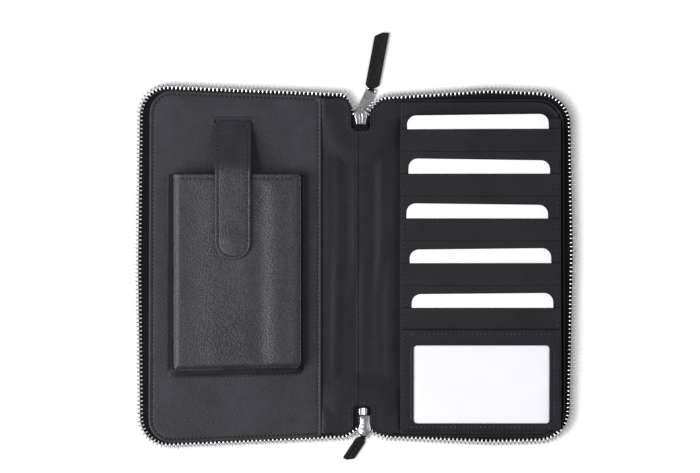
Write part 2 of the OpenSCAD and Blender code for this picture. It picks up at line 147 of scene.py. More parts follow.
def box_loop(x0, y0, x1, y1, r, parts, top_r=None):
    """A rounded rectangle; its upper corners may have a radius of their own."""
    top_r = r if top_r is None else top_r
    return loop_of([(x0, y0, r), (x1, y0, r), (x1, y1, top_r), (x0, y1, top_r)], parts)


def path_of(corners, parts=10):
    """An open path through rounded corners."""
    points = [np.array(corners[0][:2], float)]
    for before, (x, y, r), after in zip(corners, corners[1:], corners[2:]):
        points += corner(before[:2], (x, y), after[:2], r, parts)
    points.append(np.array(corners[-1][:2], float))
    return np.array(points)


def stations(line):
    """Lengths of a line's segments, and the distance along it to each point."""
    lengths = np.linalg.norm(np.diff(line, axis=0), axis=1)
    return lengths, np.concatenate([[0], np.cumsum(lengths)])


def resample(points, step, closed=False):
    """The same line with evenly spaced points."""
    line = np.vstack([points, points[:1]]) if closed else np.array(points, float)
    lengths = np.linalg.norm(np.diff(line, axis=0), axis=1)
    keep = np.concatenate([[True], lengths > 1e-9])
    line = line[keep]
    lengths = lengths[lengths > 1e-9]
    at = np.concatenate([[0], np.cumsum(lengths)])
    count = max(2, int(round(at[-1] / step)))
    wanted = np.linspace(0, at[-1], count + 1)
    out = np.stack([np.interp(wanted, at, line[:, k]) for k in range(line.shape[1])], 1)
    return out[:-1] if closed else out


def left_normals(points, closed=False):
    """Unit normals to the left of the line's heading."""
    if closed:
        t = np.roll(points, -1, 0) - np.roll(points, 1, 0)
    else:
        t = np.gradient(points, axis=0)
    t = t / np.maximum(np.linalg.norm(t, axis=1), 1e-9)[:, None]
    return np.stack([-t[:, 1], t[:, 0]], 1)


def distance_to(points, line, closed=True):
    """Distance from each point to a line, in the plane."""
    a = line if closed else line[:-1]
    b = np.roll(line, -1, 0) if closed else line[1:]
    d = b - a
    size = np.maximum((d * d).sum(1), 1e-12)
    best = np.full(len(points), 1e9)
    for k in range(0, len(points), 400):
        p = points[k:k + 400, None, :]
        t = np.clip(((p - a) * d).sum(2) / size, 0, 1)
        gap = np.linalg.norm(p - (a + t[..., None] * d), axis=2)
        best[k:k + 400] = gap.min(1)
    return best


def inside(points, loop):
    """True for the points inside a closed outline."""
    x, y = points[:, 0][:, None], points[:, 1][:, None]
    x0, y0 = loop[:, 0], loop[:, 1]
    x1, y1 = np.roll(x0, -1), np.roll(y0, -1)
    crossed = (y0 > y) != (y1 > y)
    slope = (x1 - x0) * (y - y0) / np.where(y1 == y0, 1e-12, y1 - y0) + x0
    return (crossed & (x < slope)).sum(1) % 2 == 1


def smooth(t):
    t = np.clip(t, 0, 1)
    return t * t * (3 - 2 * t)


def hump(t, width):
    """1 at t = 0, easing to 0 at plus or minus width."""
    return smooth(1 - np.abs(t) / width)


def waves(x, y, seed, size, octaves=3):
    """A soft, seeded, smooth variation from about -1 to 1, with features of about size."""
    r = np.random.default_rng(seed)
    total = np.zeros_like(np.asarray(x, float))
    for k in range(octaves * 4):
        angle = r.uniform(0, 2 * math.pi)
        length = size * r.uniform(0.7, 1.8)
        phase = r.uniform(0, 2 * math.pi)
        total = total + np.sin(
            2 * math.pi * (x * math.cos(angle) + y * math.sin(angle)) / length + phase)
    return total / math.sqrt(octaves * 8)


# ---------------------------------------------------------------- meshes


def make(name, verts, faces, material, slot, sharp=42):
    """A mesh piece from points in millimetres."""
    mesh = bpy.data.meshes.new(name)
    mesh.from_pydata([tuple(float(c) * MM for c in v) for v in verts], [],
                     [tuple(int(i) for i in f) for f in faces])
    bm = bmesh.new()
    bm.from_mesh(mesh)
    bmesh.ops.remove_doubles(bm, verts=bm.verts, dist=2e-7)
    bmesh.ops.dissolve_degenerate(bm, edges=bm.edges, dist=1e-7)
    bmesh.ops.recalc_face_normals(bm, faces=bm.faces)
    limit = math.radians(sharp)
    for f in bm.faces:
        f.smooth = True
    for e in bm.edges:
        if len(e.link_faces) == 2 and e.calc_face_angle(0) > limit:
            e.smooth = False
    bm.to_mesh(mesh)
    bm.free()
    mesh.materials.append(material)
    piece = bpy.data.objects.new(name, mesh)
    bpy.context.scene.collection.objects.link(piece)
    return piece


class Builder:
    """Collects points and faces of one piece."""

    def __init__(self):
        self.verts, self.faces, self.count = [], [], 0

    def add(self, verts, faces):
        self.verts.append(np.asarray(verts, float))
        self.faces += [[i + self.count for i in f] for f in faces]
        self.count += len(verts)

    def make(self, name, material, slot, **options):
        return make(name, np.vstack(self.verts), self.faces, material, slot, **options)

    def piece(self, name, material, slot, body, *nodes, **options):
        """Makes the piece, rides it on a body and puts it in place of the frame's nodes."""
        piece = self.make(name, material, slot, **options)
        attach(piece, body)
        if nodes:
            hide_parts(*nodes)


def grid_faces(rows, columns, wrap_rows=False, wrap_columns=False):
    """Quads of a grid of points stored row by row."""
    out = []
    for i in range(rows if wrap_rows else rows - 1):
        for j in range(columns if wrap_columns else columns - 1):
            a, b = i * columns + j, i * columns + (j + 1) % columns
            c, d = ((i + 1) % rows) * columns + (j + 1) % columns, ((i + 1) % rows) * columns + j
            out.append((a, b, c, d))
    return out


def tube_faces(rings, sides):
    """Quads round a tube stored ring by ring, and a face on each end."""
    count = rings * sides
    return (grid_faces(rings, sides, wrap_columns=True)
            + [list(range(sides)), list(range(count - sides, count))])


def cover_plane(loops, points):
    """Triangles that fill an outline with holes, through the given inner points."""
    verts, edges = [], []
    for loop in loops:
        start = len(verts)
        verts += [Vector(p) for p in loop]
        edges += [(start + k, start + (k + 1) % len(loop)) for k in range(len(loop))]
    verts += [Vector(p) for p in points]
    out, _, faces, *_ = geometry.delaunay_2d_cdt(verts, edges, [], 0, 1e-6)
    out = np.array([tuple(v) for v in out])
    faces = [tuple(f) for f in faces]
    mid = np.array([out[list(f)].mean(0) for f in faces])
    keep = inside(mid, loops[0])
    for hole in loops[1:]:
        keep &= ~inside(mid, hole)
    return out, [f for f, k in zip(faces, keep) if k]


def inner_points(loops, low, step, columns):
    """A staggered grid inside an outline, at least low from its edges, with extra columns."""
    outline = loops[0]
    x0, y0 = outline.min(0)
    x1, y1 = outline.max(0)
    points = []
    for j, y in enumerate(np.arange(y0 + step / 2, y1, step * 0.87)):
        shift = step / 2 * (j % 2)
        points += [(x, y) for x in np.arange(x0 + shift + step / 4, x1, step)]
    points = np.array(points)
    for c0, c1, gap in columns:
        points = points[(points[:, 0] < c0 - gap) | (points[:, 0] > c1 + gap)]
        extra = [(x, y) for x in np.arange(c0, c1 + 1e-6, gap)
                 for y in np.arange(y0 + step / 2, y1, step)]
        points = np.vstack([points, extra])
    keep = inside(points, outline) & (distance_to(points, outline) > low)
    for hole in loops[1:]:
        keep &= ~inside(points, hole) & (distance_to(points, hole) > low)
    return points[keep]


def leather_edge(t, r):
    """Rounded edge of a sheet of thickness t: (inset, height) from its underside to its top."""
    r = min(r, t / 2)
    low = [(r * (1 - math.cos(a)), t - r + r * math.sin(a)) for a in np.radians([0, 30, 60, 90])]
    return [(i, t - z) for i, z in reversed(low)] + low


def soft_sheet(build, loops, z0, t, r=None, edge=None, top=None, bottom=None, lines=(), step=4.0,
               columns=(), place=None, along=1.6):
    """A sheet with edges rounded by r. top and bottom give a rise from (x, y, distance in)."""
    edge = edge or leather_edge(t, r)
    top = top or (lambda x, y, d: 0 * x)
    bottom = bottom or (lambda x, y, d: 0 * x)
    place = place or (lambda x, y, z: np.stack([x, y, z], 1))
    loops = [resample(np.asarray(loop), along, closed=True) for loop in loops]
    signs = [1] + [-1] * (len(loops) - 1)
    middle = t / 2

    def raised(x, y, d, height):
        share = np.clip((height - middle) / middle, -1, 1)
        return z0 + height + np.maximum(share, 0) * top(x, y, d) \
            + np.maximum(-share, 0) * bottom(x, y, d)

    last = edge[-1][0]
    first = edge[0][0]
    inner, inner_low = [], []
    for loop, sign in zip(loops, signs):
        if loop_area(loop) < 0:
            loop = loop[::-1]
        normal = left_normals(loop, closed=True) * sign
        rings = []
        for inset, height in edge:
            p = loop + normal * inset
            d = np.full(len(p), inset)
            z = raised(p[:, 0], p[:, 1], d, np.full(len(p), height))
            rings.append(place(p[:, 0], p[:, 1], z))
        build.add(np.vstack(rings), grid_faces(len(rings), len(loop), wrap_columns=True))
        inner.append(loop + normal * last)
        inner_low.append(loop + normal * first)
    points = inner_points(inner, step * 0.45, step, columns)
    for inset in lines:
        for loop, sign in zip(loops, signs):
            p = loop + left_normals(loop, closed=True) * sign * inset
            gap = np.min([distance_to(p, other) for other in loops], axis=0)
            p = p[gap > inset - 0.05]
            points = points[distance_to(points, p, closed=False) > 0.55] if len(p) > 2 else points
            points = np.vstack([points, p])
    for height, ring, over in ((edge[-1][1], inner, top), (edge[0][1], inner_low, bottom)):
        flat, faces = cover_plane(ring, points)
        d = np.min([distance_to(flat, loop) for loop in loops], axis=0)
        d = np.maximum(d, last if over is top else first)
        z = z0 + height + over(flat[:, 0], flat[:, 1], d)
        build.add(place(flat[:, 0], flat[:, 1], z), faces)


def sweep(build, path, section):
    """A section of (offset to the left, height) points carried along an open path.
    The path's points are (x, y) or (x, y, z)."""
    path, section = np.asarray(path, float), np.array(section)
    plane = path[:, :2]
    lift = path[:, 2] if path.shape[1] == 3 else np.zeros(len(path))
    rings = [np.column_stack([at + normal * section[:, :1], section[:, 1] + z])
             for at, normal, z in zip(plane, left_normals(plane), lift)]
    columns = len(section)
    build.add(np.vstack(rings), grid_faces(len(rings), columns, wrap_columns=True))
    for ring in (rings[0], rings[-1]):
        build.add(ring, [list(range(columns))])


def ellipse(half_wide, half_high, mid_z, sides):
    turns = [2 * math.pi * k / sides for k in range(sides)]
    return [(half_wide * math.cos(a), mid_z + half_high * math.sin(a)) for a in turns]


STITCH_PITCH = 2.6
STITCH_L = 1.5
STITCH_R = 0.31


def pellet(build, mid, heading, side, up, shape, sides=6):
    """A rounded grain from rings of (along, half width, half height, drop)."""
    rings = []
    for along, wide, high, drop in shape:
        centre = mid + heading * along + up * drop
        for j in range(sides):
            a = 2 * math.pi * j / sides
            rings.append(centre + side * math.cos(a) * wide + up * math.sin(a) * high)
    build.add(rings, tube_faces(len(shape), sides))


class Seam:
    """Sewing: short sunk-ended stitches, with a flat dark lens between each two, painted shade
    standing for a needle hole.
    """

    def __init__(self):
        # holes collects the flat dark lenses, the painted shade of the needle holes.
        self.thread, self.holes = Builder(), Builder()

    def row(self, line, pitch=STITCH_PITCH, length=STITCH_L, slant=0.0):
        line = resample(np.asarray(line, float), 0.35)
        at = stations(line)[1]
        count = max(1, int(at[-1] / pitch))
        start = (at[-1] - count * pitch) / 2
        r = STITCH_R
        stitch = [(share * length, r * size, r * size, drop) for share, size, drop in (
            (-0.5, 0.35, -0.34), (-0.38, 0.85, -0.05), (-0.15, 1, 0.06), (0.15, 1, 0.06),
            (0.38, 0.85, -0.05), (0.5, 0.35, -0.34))]
        # Painted shade: each needle hole is a flat dark lens on the leather, not a pit.
        hole = [(-0.66, 0.16, 0.05, 0), (-0.46, 0.46, 0.12, 0), (0, 0.60, 0.15, 0),
                (0.46, 0.46, 0.12, 0), (0.66, 0.16, 0.05, 0)]

        def point(s):
            return np.array([np.interp(s, at, line[:, c]) for c in range(3)])

        for k in range(2 * count - 1):
            s = start + (k + 1) * pitch / 2
            heading = unit(point(s + 0.4) - point(s - 0.4))
            side = unit(np.cross([0, 0, 1], heading))
            build, shape = (self.holes, hole) if k % 2 else (self.thread, stitch)
            if build is self.thread:
                heading = unit(heading + side * slant)
                side = unit(np.cross([0, 0, 1], heading))
            pellet(build, point(s), heading, side, np.cross(heading, side), shape)

    def make(self, name, follow):
        for build, part, material in ((self.thread, "_stitches", THREAD),
                                      (self.holes, "_needle_hole_shade", HOLE_SHADE)):
            build.piece(name + part, material, "inner_leather", follow)


# ---------------------------------------------------------------- materials


class Nodes:
    """Short names for building a node material."""

    def __init__(self, name):
        self.material = bpy.data.materials.new(name)
        self.material.use_nodes = True
        self.tree = self.material.node_tree
        self.shader = self.tree.nodes["Principled BSDF"]
        self.coords = self.tree.nodes.new("ShaderNodeTexCoord").outputs["Object"]

    def node(self, kind, inputs=None, **settings):
        node = self.tree.nodes.new(kind)
        for key, value in settings.items():
            setattr(node, key, value)
        for key, value in (inputs or {}).items():
            if hasattr(value, "is_output"):
                self.tree.links.new(value, node.inputs[key])
            else:
                node.inputs[key].default_value = value
        return node

    def noise(self, size, detail=3.0, rough=0.55):
        """Noise whose features are about size millimetres across."""
        return self.node("ShaderNodeTexNoise", {
            "Vector": self.coords, "Scale": 1 / (size * MM), "Detail": detail,
            "Roughness": rough}).outputs["Fac"]

    def cells(self, size, vector=None):
        return self.node("ShaderNodeTexVoronoi", {
            "Vector": vector or self.coords, "Scale": 1 / (size * MM)}).outputs["Distance"]

    def math(self, operation, a, b=0.0, c=0.0):
        node = self.node("ShaderNodeMath", operation=operation)
        for k, value in enumerate((a, b, c)):
            if hasattr(value, "is_output"):
                self.tree.links.new(value, node.inputs[k])
            else:
                node.inputs[k].default_value = value
        return node.outputs[0]

    def ramp(self, value, stops):
        node = self.node("ShaderNodeValToRGB", {"Fac": value})
        ramp = node.color_ramp
        while len(ramp.elements) < len(stops):
            ramp.elements.new(0.5)
        for element, (place, shade) in zip(ramp.elements, stops):
            element.position = place
            element.color = (*shade, 1)
        return node.outputs["Color"]

    def span(self, value, low, high, to_low, to_high):
        return self.node("ShaderNodeMapRange", {
            "Value": value, "From Min": low, "From Max": high, "To Min": to_low,
            "To Max": to_high}).outputs["Result"]

    def bump(self, height, depth):
        """Bump whose full height difference is depth millimetres."""
        return self.node("ShaderNodeBump", {
            "Height": height, "Distance": depth * MM, "Strength": 1.0}).outputs["Normal"]

    def set(self, **inputs):
        names = {"base": "Base Color", "rough": "Roughness", "metal": "Metallic",
                 "normal": "Normal", "sheen": "Sheen Weight", "sheen_rough": "Sheen Roughness",
                 "alpha": "Alpha", "specular": "Specular IOR Level"}
        for key, value in inputs.items():
            socket = self.shader.inputs[names[key]]
            if hasattr(value, "is_output"):
                self.tree.links.new(value, socket)
            elif isinstance(value, tuple):
                socket.default_value = (*value, 1)
            else:
                socket.default_value = value
        return self.material


def leather(name, dark, light, grain, depth, rough, crease=0.5, specular=0.5, mottle=0.22):
    """Calf leather: pebbled grain, fine pores, faint creases; its colour carries painted shade and
    sheen.
    """
    n = Nodes(name)
    bend = n.node("ShaderNodeTexNoise", {"Vector": n.coords, "Scale": 1 / (grain * 2.5 * MM),
                                         "Detail": 1.0}).outputs["Color"]
    shift = n.node("ShaderNodeVectorMath", {0: bend, 3: grain * 0.5 * MM}, operation="SCALE")
    moved = n.node("ShaderNodeVectorMath", {0: n.coords, 1: shift.outputs[0]},
                   operation="ADD").outputs[0]
    pebbles = n.cells(grain, vector=moved)
    pores = n.noise(grain * 0.45, 2.0)
    folds = n.noise(grain * 9, 4.0, 0.6)
    soft = n.noise(28, 2.0, 0.5)
    height = n.math("MULTIPLY_ADD", pores, 0.5, n.math("SUBTRACT", 1.0, pebbles))
    height = n.math("MULTIPLY_ADD", folds, crease, height)
    # Painted shade: the base is darker between the pebbles (by mottle) and in the creases' lows, and
    # lighter on their tops. The 28 mm patches are partly an uneven dye, partly a painted sheen.
    shade = n.math("MULTIPLY_ADD", pebbles, -mottle, n.math("MULTIPLY_ADD", soft, 0.55,
                                                          n.math("MULTIPLY", folds, 0.45)))
    base = n.ramp(shade, [(0.22, dark), (0.72, light)])
    gloss = n.math("MULTIPLY_ADD", pebbles, 0.16, n.span(soft, 0.3, 0.7, rough - 0.05, rough + 0.06))
    normal = n.bump(height, depth)
    return n.set(base=base, rough=gloss, normal=normal, specular=specular, sheen=0.03,
                 sheen_rough=0.4)


def woven_tape(name):
    """Black zip tape: a tight warp-knit rib."""
    n = Nodes(name)
    rib = n.node("ShaderNodeTexWave", {"Vector": n.coords, "Scale": 1 / (5.0 * MM),
                                       "Distortion": 0.6, "Detail": 1.0}, wave_type="BANDS",
                 bands_direction="DIAGONAL").outputs["Fac"]
    cross = n.cells(0.55)
    fuzz = n.noise(0.25, 3.0)
    height = n.math("MULTIPLY_ADD", cross, 0.8, n.math("MULTIPLY_ADD", fuzz, 0.4, rib))
    base = n.ramp(n.math("MULTIPLY_ADD", fuzz, 0.5, n.math("MULTIPLY", cross, 0.6)),
                  [(0.2, (0.0022, 0.0022, 0.0028)), (0.8, (0.0075, 0.0073, 0.0090))])
    return n.set(base=base, rough=n.span(fuzz, 0.3, 0.7, 0.72, 0.92), specular=0.1,
                 normal=n.bump(height, 0.12), sheen=0.03, sheen_rough=0.5)


def thread_material(name):
    n = Nodes(name)
    twist = n.node("ShaderNodeTexWave", {"Vector": n.coords, "Scale": 1 / (2.2 * MM),
                                         "Distortion": 1.0}, bands_direction="DIAGONAL"
                   ).outputs["Fac"]
    fuzz = n.noise(0.2, 2.0)
    base = n.ramp(n.math("MULTIPLY_ADD", fuzz, 0.4, n.math("MULTIPLY", twist, 0.6)),
                  [(0.1, (0.007, 0.0068, 0.009)), (0.9, (0.026, 0.025, 0.030))])
    return n.set(base=base, rough=n.span(fuzz, 0.3, 0.7, 0.42, 0.6),
                 normal=n.bump(twist, 0.08), sheen=0.2, sheen_rough=0.4)


def metal(name, light, dark, rough, brushed=0.0):
    """Plated metal with faint handling marks."""
    n = Nodes(name)
    marks = n.noise(2.2, 5.0, 0.7)
    fine = n.node("ShaderNodeTexNoise", {
        "Vector": n.node("ShaderNodeMapping", {"Vector": n.coords, "Scale": (1, 0.06, 1)}
                         ).outputs[0],
        "Scale": 1 / (0.12 * MM), "Detail": 2.0}).outputs["Fac"]
    base = n.ramp(marks, [(0.35, dark), (0.6, light)])
    gloss = n.span(marks, 0.3, 0.75, rough, rough + 0.12)
    height = n.math("MULTIPLY_ADD", fine, brushed, n.math("MULTIPLY", marks, 0.5))
    return n.set(base=base, rough=gloss, metal=1.0, normal=n.bump(height, 0.02))


def card_material(name, tint):
    """Blank plastic card with a fine satin tooth and the faintest mottling."""
    n = Nodes(name)
    tooth = n.noise(0.12, 2.0)
    mottle = n.noise(14, 3.0)
    base = n.ramp(mottle, [(0.3, tuple(c * 0.965 for c in tint)), (0.7, tint)])
    return n.set(base=base, rough=n.span(tooth, 0.3, 0.7, 0.38, 0.5), specular=0.4,
                 normal=n.bump(tooth, 0.004))


def film_material(name):
    """Clear film with a soft, uneven gloss."""
    n = Nodes(name)
    ripple = n.noise(16, 2.0)
    base = n.ramp(ripple, [(0.3, (0.93, 0.94, 0.98)), (0.7, (0.97, 0.98, 1.0))])
    return n.set(base=base, rough=n.span(ripple, 0.3, 0.7, 0.06, 0.16), alpha=0.08,
                 normal=n.bump(ripple, 0.15))


def board_material(name, tone):
    n = Nodes(name)
    fibre = n.noise(0.6, 4.0)
    base = n.ramp(fibre, [(0.3, tuple(c * 0.75 for c in tone)), (0.7, tone)])
    return n.set(base=base, rough=n.span(fibre, 0.3, 0.7, 0.8, 0.95), normal=n.bump(fibre, 0.05))


# Each leather's base runs from its dark to its light tone. Part of that spread is painted shade
# between the pebbles and in the creases; mottle sets the pebbles' share.
INNER = leather("inner_calf", (0.0090, 0.0082, 0.0140), (0.025, 0.0236, 0.0352), 0.80, 0.10,
                0.40, specular=0.42, mottle=0.25)
PEBBLED = leather("pocket_calf", (0.0105, 0.0097, 0.0150), (0.038, 0.0362, 0.0500), 0.95, 0.17,
                  0.35, specular=0.56, mottle=0.42)
SLOT = leather("slot_calf", (0.0044, 0.0040, 0.0070), (0.0098, 0.0092, 0.0145), 0.70, 0.09,
               0.41, specular=0.27)
LINING = leather("lining_calf", (0.0048, 0.0044, 0.0074), (0.0106, 0.0100, 0.0152), 0.75, 0.09,
                 0.41, specular=0.27)
OUTER = leather("outer_calf", (0.008, 0.0076, 0.0100), (0.018, 0.0172, 0.0225), 0.95, 0.22,
                0.40)
TAB = leather("pull_tab_calf", (0.0024, 0.0022, 0.0040), (0.0085, 0.0080, 0.0125), 0.95, 0.30,
              0.42, specular=0.2, mottle=0.4)
TAPE = woven_tape("zip_tape_weave")
THREAD = thread_material("waxed_thread")
# Painted shade: a near-black for the needle holes' flat lenses, which stand for the holes' shade.
HOLE_SHADE = board_material("needle_hole_painted_shade", (0.0022, 0.0020, 0.0026))
NICKEL = metal("polished_nickel", (0.70, 0.70, 0.73), (0.50, 0.50, 0.53), 0.17, 0.3)
ZIP_METAL = metal("zip_metal", (0.80, 0.80, 0.83), (0.54, 0.54, 0.57), 0.24, 0.5)
STEEL = metal("magnet_steel", (0.62, 0.62, 0.64), (0.46, 0.46, 0.48), 0.34, 0.8)
CARD = card_material("blank_card", (0.88, 0.88, 0.895))
INSERT = card_material("id_card", (0.83, 0.82, 0.875))
FILM = film_material("window_film")
BOARD = board_material("fibre_board", (0.25, 0.24, 0.23))
FILLER = board_material("thin_foam", (0.16, 0.16, 0.16))

# ---------------------------------------------------------------- shells that cross the folds

FOLD_COLUMNS = {side: [(x - FOLD_HALF - 1, x + FOLD_HALF + 1, 0.9)]
                for side, x in (("left", LEFT_FOLD), ("right", RIGHT_FOLD))}


def bend(piece, side):
    """Bakes a piece's placement into its mesh, the same for either side; nothing is bent."""
    if side == "left":
        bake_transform(piece)
    else:
        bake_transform(piece)


# Half outlines of the leather shells: [x, y, radius], counter-clockwise
LEFT_SHELL = [
    (SPINE_MID, 82.6, 0), (-5.7, 82.6, 2.6), (-5.7, 87.4, 1.5), (-13.2, 99.6, 3),
    (-16.5, 101.6, 6), (-128, 105.5, 14), (-128, -106, 14), (-16.5, -101.8, 8),
    (-12.5, -100.6, 5), (-4.8, -96.3, 3), (-4.8, -84.4, 2.6), (SPINE_MID, -84.4, 0),
]
RIGHT_SHELL = [
    (SPINE_MID, -84.4, 0), (7.9, -84.4, 2.6), (7.9, -94.6, 3), (14, -100.2, 7),
    (20, -101.5, 14), (122.5, -102.5, 14), (122.5, 101.5, 14), (19, 100.9, 12),
    (12.6, 94.6, 6), (6.4, 85.6, 1.2), (6.4, 82.6, 2.4), (SPINE_MID, 82.6, 0),
]
SHELLS = {"left": LEFT_SHELL, "right": RIGHT_SHELL}
LININGS = {
    "left": [
        (SPINE_MID, 82.6, 0), (-5.7, 82.6, 2.6), (-5.7, 97, 2), (-8.5, 101.2, 3),
        (-16.5, 101.8, 6), (-128, 105.5, 14), (-128, -106, 14), (-16.5, -101.8, 8),
        (-9, -101.4, 4), (-4.4, -98.8, 3), (-4.4, -84.6, 2.6), (SPINE_MID, -84.6, 0)],
    "right": [
        (SPINE_MID, -84.6, 0), (7.3, -84.6, 2.6), (7.3, -98.4, 3), (12, -101.1, 7),
        (20, -101.7, 14), (122.5, -102.5, 14), (122.5, 101.5, 14), (19, 100.9, 12),
        (11.5, 99, 6), (6.5, 93.5, 3), (6.5, 82.6, 2.4), (SPINE_MID, 82.6, 0)],
}
NOTCHES = path_of([(-16.5, 101.8, 0), (-8.5, 101.2, 3), (-5.7, 97, 2), (-5.7, 82.6, 2.6),
                   (6.5, 82.6, 2.4), (6.5, 93.5, 3), (11.5, 99, 6), (19, 100.9, 0)])
LOW_NOTCHES = path_of([(-16.5, -101.8, 0), (-9, -101.4, 4), (-4.4, -98.8, 3),
                       (-4.4, -84.6, 2.6), (7.3, -84.6, 2.6), (7.3, -98.4, 3),
                       (12, -101.1, 7), (20, -101.7, 0)])


def shell_loop(corners, inset=0.0):
    """A half shell's outline, drawn in by inset except along the spine's middle."""
    loop = resample(loop_of(corners), 1.4, closed=True)
    normal = left_normals(loop, closed=True)
    moved = loop + normal * inset
    on_middle = np.abs(loop[:, 0] - SPINE_MID) < 0.8
    moved[on_middle, 0] = loop[on_middle, 0]
    return moved


def edge_gap(x, y):
    """Distance from a point of the spine's lining to the nearest worked edge."""
    points = np.stack([x, y], 1)
    return np.minimum(distance_to(points, NOTCHES, closed=False),
                      distance_to(points, LOW_NOTCHES, closed=False))


def lining_rise(x, y, d):
    """Soft lengthwise waves down the spine, and the climb over the sewn-in tape ends."""
    in_spine = smooth((x + 25.5) / 3.0) * smooth((27.0 - x) / 3.0)
    drift = 3.0 * np.sin(y / 46.0) + 1.6 * waves(x, y, 5, 70)
    lengthwise = (0.46 * np.sin(2 * math.pi * (x + 3.0 + 0.35 * drift) / 15.5)
                  + 0.26 * np.sin(2 * math.pi * (x - 1.0 - 0.5 * drift) / 8.3))
    fade = smooth((84 - np.abs(y)) / 26)
    rows = 0.5 * fade * (0.75 + 0.25 * np.sin(y / 31.0 + 1)) * lengthwise + 0.34 * fade
    worked = np.minimum(edge_gap(x, y), np.maximum(101.5 - np.abs(y), 0) + 0.5)
    climb = 1.55 * (1 - smooth((worked - 8.5) / 16.0))
    lip = 0.22 * hump(edge_gap(x, y) - 0.9, 1.1)
    return in_spine * (np.maximum(rows, 0.02 + climb) + lip)


def butt(build, top, thickness):
    """Squares the edge along the spine's middle, where the two halves meet."""
    for verts in build.verts:
        near = np.abs(verts[:, 0] - SPINE_MID) < 0.8
        high = top(verts[near, 0], verts[near, 1])
        upper = verts[near, 2] >= high - thickness / 2 - 1e-3
        verts[near, 2] = np.where(upper, high, high - thickness)


def build_shell(side):
    """One cover's outer leather with its half of the spine, turned up round the board."""
    def rim(x, y, d):
        on_edge = 1 - smooth((d - 0.4) / 1.6)
        away = smooth(np.abs(x - SPINE_MID) / 3.0)
        spine = smooth((np.abs(x - SPINE_MID) - 11) / 6)
        return on_edge * away * (0.9 * spine + 0.25)

    b = Builder()
    soft_sheet(b, [shell_loop(SHELLS[side])], 0.0, OUTER_T, top=rim, r=0.6,
               lines=(1.2, 2.0), step=5.0, columns=FOLD_COLUMNS[side])
    butt(b, lambda x, y: 0 * x + OUTER_T, OUTER_T)
    piece = b.make("outer_leather_" + side, OUTER, "outer_leather")
    bend(piece, side)
    return piece


LINING_T = 0.6


def build_lining(side):
    """One cover's lining with its half of the spine."""
    b = Builder()
    soft_sheet(b, [shell_loop(LININGS[side], 0.25)], LINING_Z - LINING_T, LINING_T, 0.3,
               top=lining_rise, bottom=lining_rise, lines=(0.9, 1.8, 3.2), step=2.6,
               columns=FOLD_COLUMNS[side])
    butt(b, lining_top, LINING_T)
    piece = b.make("lining_" + side, LINING, "dark_leather")
    bend(piece, side)
    return piece


def lining_top(x, y):
    x, y = np.atleast_1d(np.asarray(x, float)), np.atleast_1d(np.asarray(y, float))
    return LINING_Z + lining_rise(x, y, np.ones_like(x))


def build_tape(side):
    """The zip tape of one half, from one slider round the cover to the other."""
    path = resample(path_of(EDGES[side]), 1.5)
    inward = 1 if side == "left" else -1
    low, high = TAPE_LOW, TAPE_HIGH + 0.02
    half = (high - low) / 2
    section = [(inward * v, z) for v, z in [
        (8.0, low), (8.0, high - 0.1), (5.0, high - 0.08), (2.2, high - 0.06),
        (1.3, high + 0.10), (0.5, high + 0.22), (0.0, high), (-0.12, low + half),
        (0.0, low), (0.5, low - 0.22), (1.3, low - 0.10), (2.2, low)]]
    b = Builder()
    sweep(b, path, section)
    piece = b.make("zip_tape_" + side, TAPE, "tape")
    bend(piece, side)
    return piece


TOOTH_PITCH = 2.5
TOOTH_STATIONS = [  # outward from the tape's edge, half width, share of half height
    (-1.75, 0.34, 0.45), (-1.60, 0.52, 0.62), (-0.3, 0.60, 0.80), (0.55, 0.50, 0.86),
    (1.05, 0.42, 0.92), (1.45, 0.58, 1.0), (1.95, 0.55, 0.96), (2.22, 0.40, 0.72),
    (2.30, 0.18, 0.36),
]
TOOTH_ROUND = [(-1, -0.6), (-0.6, -1), (0.6, -1), (1, -0.6), (1, 0.6), (0.6, 1), (-0.6, 1),
               (-1, 0.6)]


def build_teeth(side):
    """Metal zip teeth, each clamped over the tape's beaded edge."""
    path = path_of(EDGES[side])
    outward = -1 if side == "left" else 1
    seg, at = stations(path)
    mid = (TOOTH_LOW + TOOTH_HIGH) / 2
    half = (TOOTH_HIGH - TOOTH_LOW) / 2
    b = Builder()
    for s in np.arange(TOOTH_PITCH / 2, at[-1] - 0.5, TOOTH_PITCH):
        k = max(0, min(len(seg) - 1, int(np.searchsorted(at, s)) - 1))
        heading = (path[k + 1] - path[k]) / seg[k]
        p = path[k] + heading * (s - at[k])
        out = np.array([-heading[1], heading[0]]) * outward
        verts = []
        for v, wide, high in TOOTH_STATIONS:
            for a, c in TOOTH_ROUND:
                xy = p + out * v + heading * a * wide
                verts.append((xy[0], xy[1], mid + c * high * half))
        b.add(verts, tube_faces(len(TOOTH_STATIONS), len(TOOTH_ROUND)))
    piece = b.make("zip_teeth_" + side, ZIP_METAL, "zip_metal", sharp=50)
    bend(piece, side)
    return piece


for side_name in ("left", "right"):
    shell = build_shell(side_name)
    lining = build_lining(side_name)
    tape = build_tape(side_name)
    teeth = build_teeth(side_name)
    if side_name == "left":
        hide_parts("left_cover_leather", "spine_cover")
        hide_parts("left_lining", "spine_lining", "top_notch_binding")
        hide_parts("left_zip_tape")
        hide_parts("left_zip_teeth", "spine_zip_teeth")
    else:
        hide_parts("right_cover_leather")
        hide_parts("right_lining", "bottom_notch_binding")
        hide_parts("right_zip_tape")
        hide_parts("right_zip_teeth")


def build_notch_welt(name, line):
    """The turned, slightly raised edge of the lining round a notch."""
    line = resample(line, 0.7)
    z = lining_top(line[:, 0], line[:, 1])
    b = Builder()
    sweep(b, np.column_stack([line, z]), ellipse(0.42, 0.34, -0.08, 8))
    b.piece(name, LINING, "dark_leather", "spine")


# ---------------------------------------------------------------- left panel, pocket and strap

